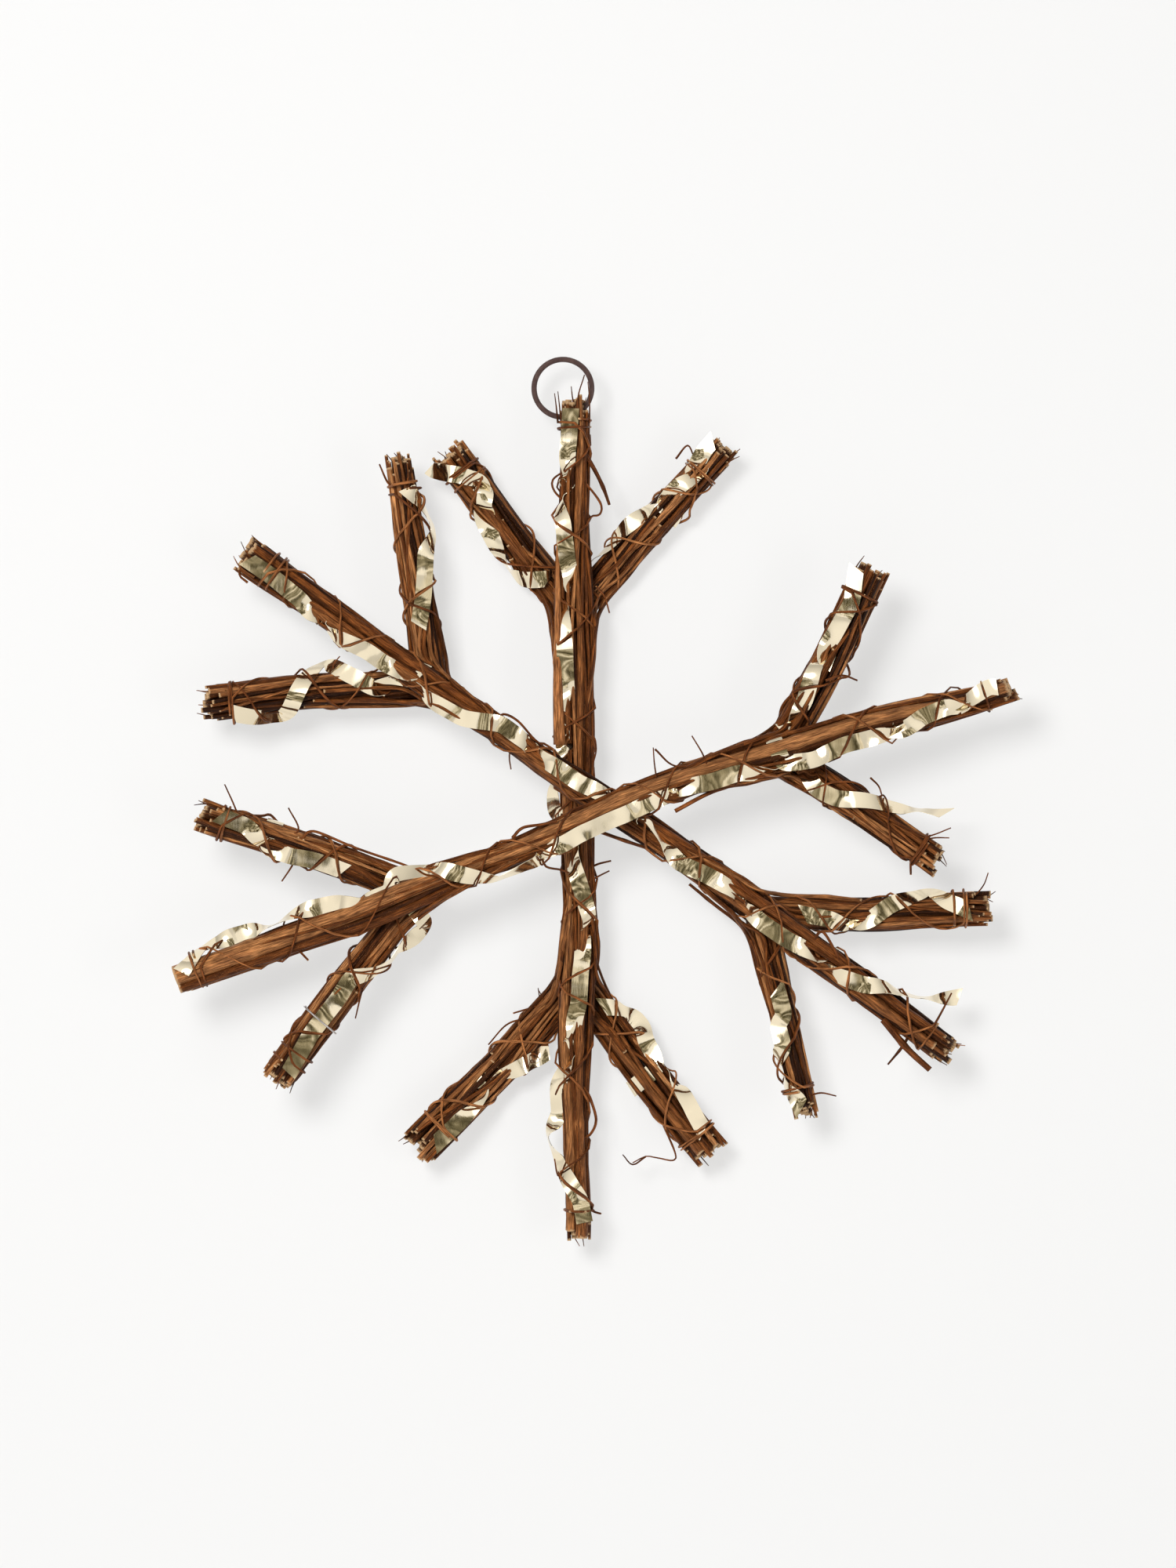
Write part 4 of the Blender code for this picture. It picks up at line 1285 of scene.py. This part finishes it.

# %% [markdown]
# ## Wisps
#
# Loose bits are what makes it look hand-bound: broken tips, hooks of vine that left the bundle and
# came back, and a few strands that bridge a fork. Each is laid like a twig. Its route is given in
# millimetres as seen from the front, and its depth comes from the bundle it grows from.

# %% Routes of the wisps
# For each bundle: first and last diameter (mm), tone, how far forward (1 is the front of the
# bundle), and the route as (x, z) in millimetres from the nail.
WISPS = {
    "bottom_right": (
        (1.3, 0.7, 0.5, 0.4, ((60, -458), (68, -479), (57, -479), (50, -478), (42, -482))),
        (1.2, 0.7, 0.2, 0.4, ((50, -478), (42, -483), (36, -477))),
    ),
    "bottom_left": (
        (0.9, 0.6, 0.2, 0.5, ((-13, -391), (-15, -377))),
        (0.9, 0.6, 0.2, 0.5, ((-10, -389), (-12, -383), (-15, -378))),
        (1.4, 1.0, 0.3, 0.5, ((-13, -387), (-23, -390), (-30, -392))),
        (1.3, 0.8, 0.3, 0.4, ((-22, -395), (-34, -399), (-45, -411))),
    ),
    "falling": (
        (1.6, 1.3, 0.4, 0.3, ((-41, -218), (-36, -212), (-27, -216), (-17, -227), (-8, -234))),
        (1.2, 0.8, 0.3, 0.2, ((-30, -225), (-32, -237), (-31, -245))),
        (1.6, 0.9, 0.4, 0.4, ((-189, -133), (-194, -128), (-191, -119))),
        (2.2, 1.8, 0.3, 0.0, ((21, -282), (35, -287), (50, -292), (68, -297))),
        (1.9, 1.6, 0.4, 0.6, ((80, -303), (89, -300), (106, -314), (112, -325))),
        (1.9, 1.5, 0.4, 0.6, ((150, -348), (155, -342), (161, -350), (167, -363))),
        (1.7, 1.0, 0.3, 0.6, ((219, -404), (225, -394), (233, -379))),
        (4.4, 3.6, 0.3, 0.4, ((192, -395), (206, -412), (220, -425))),
        (2.0, 1.2, 0.1, 0.2, ((208, -404), (203, -412), (195, -422))),
    ),
    "vertical": (
        (1.4, 0.7, 0.3, 0.5, ((11, -230), (18, -225), (20, -233), (18, -242), (16, -250))),
        (1.5, 1.1, 0.3, 0.3, ((15, -305), (21, -302), (29, -300))),
        (1.3, 0.9, 0.3, 0.3, ((15, -313), (22, -309), (28, -306))),
        (3.2, 1.8, 0.2, 0.4, ((11, -52), (18, -63), (24, -75), (28, -86))),
        (1.5, 1.2, 0.4, 0.6, ((11, -71), (17, -77), (23, -86), (22, -92), (16, -94), (11, -108))),
        (1.5, 1.2, 0.4, 0.6, ((3, -86), (-5, -78), (-6, -71), (2, -65))),
        (1.4, 0.9, 0.3, 0.3, ((20, -135), (25, -141), (28, -151))),
        (1.9, 1.6, 0.5, 0.3, ((11, -434), (16, -442), (20, -456), (16, -465), (10, -467))),
        (1.2, 0.8, 0.3, 0.5, ((2, -491), (-3, -489), (-5, -479))),
        (1.7, 1.2, 0.3, 0.4, ((14, -508), (19, -511), (23, -512))),
        (1.3, 0.5, 0.2, 0.6, ((-3, -37), (-4, -27), (-5, -19))),
        (1.2, 0.5, 0.2, 0.7, ((-1, -37), (-2, -27), (-3, -18))),
        (1.3, 0.6, 0.3, 0.7, ((8, -32), (6, -23), (5, -15))),
        (1.3, 0.6, 0.3, 0.8, ((11, -39), (9, -23), (13, -8))),
        (1.2, 0.5, 0.3, 0.4, ((16, -37), (16, -23), (15, -12))),
        (1.4, 7.5, 0.9, 0.85, ((-4, -97), (-3, -108), (-3, -131), (-3, -164), (-3, -197), (-2, -230))),
    ),
    "rising": (
        (1.3, 0.7, 0.3, 0.5, ((58, -261), (55, -244), (54, -232))),
        (1.3, 0.8, 0.3, 0.5, ((55, -233), (67, -243), (86, -241))),
        (1.2, 0.8, 0.3, 0.5, ((87, -247), (84, -237), (77, -225))),
        (1.5, 1.2, 0.2, 0.0, ((-13, -296), (-10, -303), (-1, -305), (4, -307))),
        (1.6, 1.1, 0.3, 0.3, ((157, -192), (167, -189), (176, -192))),
        (2.0, 1.6, 0.5, 0.6, ((-30, -286), (-24, -280), (-13, -278), (-3, -276))),
        (1.7, 1.3, 0.4, 0.3, ((-166, -346), (-158, -353), (-152, -359))),
        (2.6, 2.0, 0.5, 0.3, ((67, -270), (88, -259), (109, -252), (133, -244), (142, -239))),
    ),
    "upper_right_down": (
        (1.3, 0.8, 0.3, 0.5, ((184, -250), (189, -255), (191, -261))),
        (1.6, 1.2, 0.3, 0.3, ((209, -291), (208, -298), (208, -308))),
        (1.1, 0.7, 0.3, 0.4, ((214, -286), (222, -284), (232, -280))),
        (1.1, 0.7, 0.3, 0.4, ((214, -288), (222, -286), (231, -286))),
    ),
    "lower_left_up": (
        (1.2, 0.8, 0.3, 0.5, ((-193, -275), (-197, -265), (-202, -254))),
        (1.3, 0.9, 0.3, 0.5, ((-167, -286), (-158, -281), (-164, -268))),
        (1.4, 0.9, 0.3, 0.5, ((-159, -296), (-162, -303), (-168, -312))),
        (1.7, 1.4, 0.5, 0.6, ((-156, -287), (-149, -282), (-124, -292), (-93, -303), (-82, -309))),
    ),
    "lower_left_down": (
        (1.4, 0.8, 0.3, 0.5, ((-117, -369), (-120, -377), (-124, -394))),
    ),
    "upper_left_up": (
        (1.6, 1.0, 0.5, 0.5, ((-100, -77), (-105, -73), (-110, -62))),
    ),
    "upper_left_side": (
        (1.2, 0.7, 0.3, 0.4, ((-136, -192), (-138, -183), (-134, -177))),
    ),
    "top_right": (
        (1.4, 0.9, 0.3, 0.5, ((68, -58), (75, -50), (79, -57))),
        (2.8, 2.0, 0.35, 0.5, ((39, -108), (21, -129), (14, -150), (12, -178), (11, -207))),
    ),
    "lower_right_side": (
        (1.1, 0.7, 0.3, 0.5, ((234, -325), (245, -322), (252, -315), (255, -307))),
    ),
    "lower_right_down": (
        (1.3, 0.8, 0.3, 0.5, ((147, -441), (155, -439), (164, -441))),
        (2.6, 1.8, 0.35, 0.5, ((118, -364), (114, -350), (106, -338), (92, -327), (76, -314))),
    ),
    "upper_right_up": (
        (3.4, 2.6, 0.45, 0.5,
         ((160, -159), (152, -181), (139, -203), (127, -221), (106, -231), (83, -239), (68, -244))),
        (2.6, 2.0, 0.25, 0.6,
         ((166, -164), (158, -187), (146, -206), (132, -222), (110, -232), (88, -240), (75, -245))),
    ),
    "top_left": (
        (2.8, 2.0, 0.35, 0.5, ((-32, -108), (-13, -129), (-6, -148), (-5, -174), (-4, -207))),
    ),
}


WISP_STEP = 0.002
WISP_STRAY = 0.002


def lay_wisp(bundle, first, last, tone, forward, route, chance):
    """A wisp that starts at the depth its bundle has there and strays a little from it."""
    knots = []
    for x, z in route:
        seen = np.array((x / 1000, 0.0, z / 1000))
        share = float(np.dot(seen - bundle.first, bundle.along)) / bundle.length
        share = min(max(share, 0.0), 1.0)
        seen[1] = bundle.centre(share)[1] - forward * bundle.depth(share) / 2
        stray = chance.uniform(-WISP_STRAY, WISP_STRAY)
        seen[1] += stray if knots else 0.0
        knots.append(seen)
    points = smooth_route(knots, WISP_STEP)
    radii = knotted_radii(first / 2, last / 2, distances_along(points), chance)
    return lay_twig("wisp", short_twig, points, radii, tone, chance, (VINE_BARK, CUT_WOOD), 0.4)


print("wisps planned:", sum(map(len, WISPS.values())))

# %% [markdown]
# ## Binding vine
#
# Two thin vines hold each bundle. They wind opposite ways and cross in long X shapes, and near each
# cut end each takes a tight turn. They hug the twigs and climb over the ribbon only where they cross
# it, so each point of a vine looks for the nearest point of the ribbon and rises there.

# %% Wind the vines
VINE_PITCH = 0.062
TIGHT_PITCH = 0.0018
TURN_STEPS = 26
VINE_START = 0.012
VINE_ROOT_MARGIN = 0.018
OVER_RIBBON_REACH = 0.0105
OVER_RIBBON_EASE = 0.004
VINE_SUNK = 0.0004
VINE_GAP = 0.0003


def vine_steps(bundle, hand, start_phase, low, high, chance):
    """(share, phase) steps of a vine with a tight turn at each free end."""
    pitch = VINE_PITCH * chance.uniform(0.85, 1.15) / bundle.length
    tight = TIGHT_PITCH / bundle.length
    steps = [(low, start_phase)]
    ends = (low + 1.1 * tight, high - (1.1 * tight if isinstance(bundle, Arm) else 0.0))
    while steps[-1][0] < high:
        share, phase = steps[-1]
        speed = tight if share < ends[0] or share > ends[1] else pitch
        wobble = 1 + 0.3 * math.sin(share * bundle.length / 0.021 + start_phase)
        steps.append((share + speed * wobble / TURN_STEPS, phase + hand * math.tau / TURN_STEPS))
    return steps


def hugging_points(bundle, steps, route):
    points = []
    for share, phase in steps:
        near = np.linalg.norm(route - bundle.surface(share, phase, RIBBON_LIFT), axis=1).min()
        over = smooth_step((OVER_RIBBON_REACH - near) / OVER_RIBBON_EASE)
        lift = VINE_DIAMETER / 2 - VINE_SUNK + over * (RIBBON_LIFT + CREASE_HEIGHT + VINE_GAP)
        points.append(bundle.surface(share, phase, lift))
    return points


def wind_vines(name, bundle, seed):
    chance = random.Random(seed)
    stock = long_vine if isinstance(bundle, Arm) else short_vine
    low = VINE_START / bundle.length
    high = 1 - low if isinstance(bundle, Arm) else 1 - VINE_ROOT_MARGIN / bundle.length
    laid = []
    for hand, start_phase in ((1, chance.uniform(-1, 1)), (-1, chance.uniform(-1, 1) + 2.0)):
        steps = vine_steps(bundle, hand, start_phase, low * chance.uniform(0.6, 1.6), high, chance)
        points = hugging_points(bundle, steps, routes[name])
        swell = [1 + 0.16 * math.sin(i * 0.31 + seed) for i in range(len(points))]
        radii = np.array(swell) * VINE_DIAMETER * 500 * chance.uniform(0.9, 1.2)
        laid.append(lay_twig("vine", stock, points, radii, chance.uniform(0.35, 0.9), chance,
                             (VINE_BARK, CUT_WOOD)))
    laid.extend(lay_wisp(bundle, *row, chance) for row in WISPS.get(name, ()))
    return join_laid(f"vines_{name}", laid)


for seed, (name, bundle) in enumerate(bundles.items(), 300):
    vines = wind_vines(name, bundle, seed)
    halves = ("_first", "_second") if name in arms else ("",)
    pieces.append((vines, "binding_vine", [f"binding_vine_{name}{half}" for half in halves]))
print("vines wound:", len(bundles))

# %% [markdown]
# ## Ring and staple
#
# The ring is a plain round of blackened wire, threaded between the twigs at the top. A torus
# primitive is already its shape, and it lies square to the view. What makes it iron is its finish:
# brown, a little worn and mottled.

# %% Ring
RING_MIDDLE_Z = RING_WIRE - RING_OUTER_DIAMETER / 2
bpy.ops.object.select_all(action="DESELECT")
bpy.ops.mesh.primitive_torus_add(
    major_radius=(RING_OUTER_DIAMETER - RING_WIRE) / 2,
    minor_radius=RING_WIRE / 2,
    major_segments=96,
    minor_segments=20,
    location=(0.0, 0.0, RING_MIDDLE_Z),
    rotation=(math.pi / 2, 0.0, 0.0),
)
ring = bpy.context.object
ring.name = "iron_ring"
bpy.ops.object.transform_apply(location=True, rotation=True, scale=True)
bpy.ops.object.shade_smooth()
ring.data.materials.append(IRON)
pieces.append((ring, "ring_iron", ("hanging_ring",)))

# %% Staple
STAPLE_WIRE = 0.0012
STAPLE_PLACE = 0.040
STAPLE_SLANT = 0.001
STAPLE_REACH = 24.0
STAPLE_BACK = 2.5
STAPLE_DIVE = 0.004
STAPLE_GAP = 0.0024


def bend_staple(bundle):
    """Wire straight across the ribbon, whose two legs dive in between the twigs."""
    share, slant = STAPLE_PLACE / bundle.length, STAPLE_SLANT / bundle.length
    lift = STAPLE_GAP + RIBBON_THICKNESS + STAPLE_WIRE / 2
    points = []
    for k in range(-18, 19):
        across = k / 6
        phase = math.radians(STAPLE_REACH * across)
        sunk = max(abs(across) - STAPLE_BACK, 0.0) * STAPLE_DIVE
        points.append(bundle.surface(share + slant * across / 3, phase, lift - sunk))
    radii = np.full(len(points), STAPLE_WIRE * 500)
    laid = [lay_twig("wire", short_vine, points, radii, 0.5, random.Random(7), (STEEL, STEEL))]
    return join_laid("bent_staple", laid)


staple = bend_staple(bundles["lower_left_down"])
pieces.append((staple, "staple_steel", ("wire_staple",)))
print("ring and staple made")

# %% [markdown]
# ## The pieces on the model's body
#
# The stocks have done their work and are deleted. Every piece rides on the one body of the model
# and stands for its nodes, whose parts are hidden.

# %% Ride and replace
for stock in stocks:
    bpy.data.objects.remove(stock)
for piece, slot_name, node_names in pieces:
    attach(piece, BODY)
    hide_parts(*node_names)
print("pieces", len(pieces))
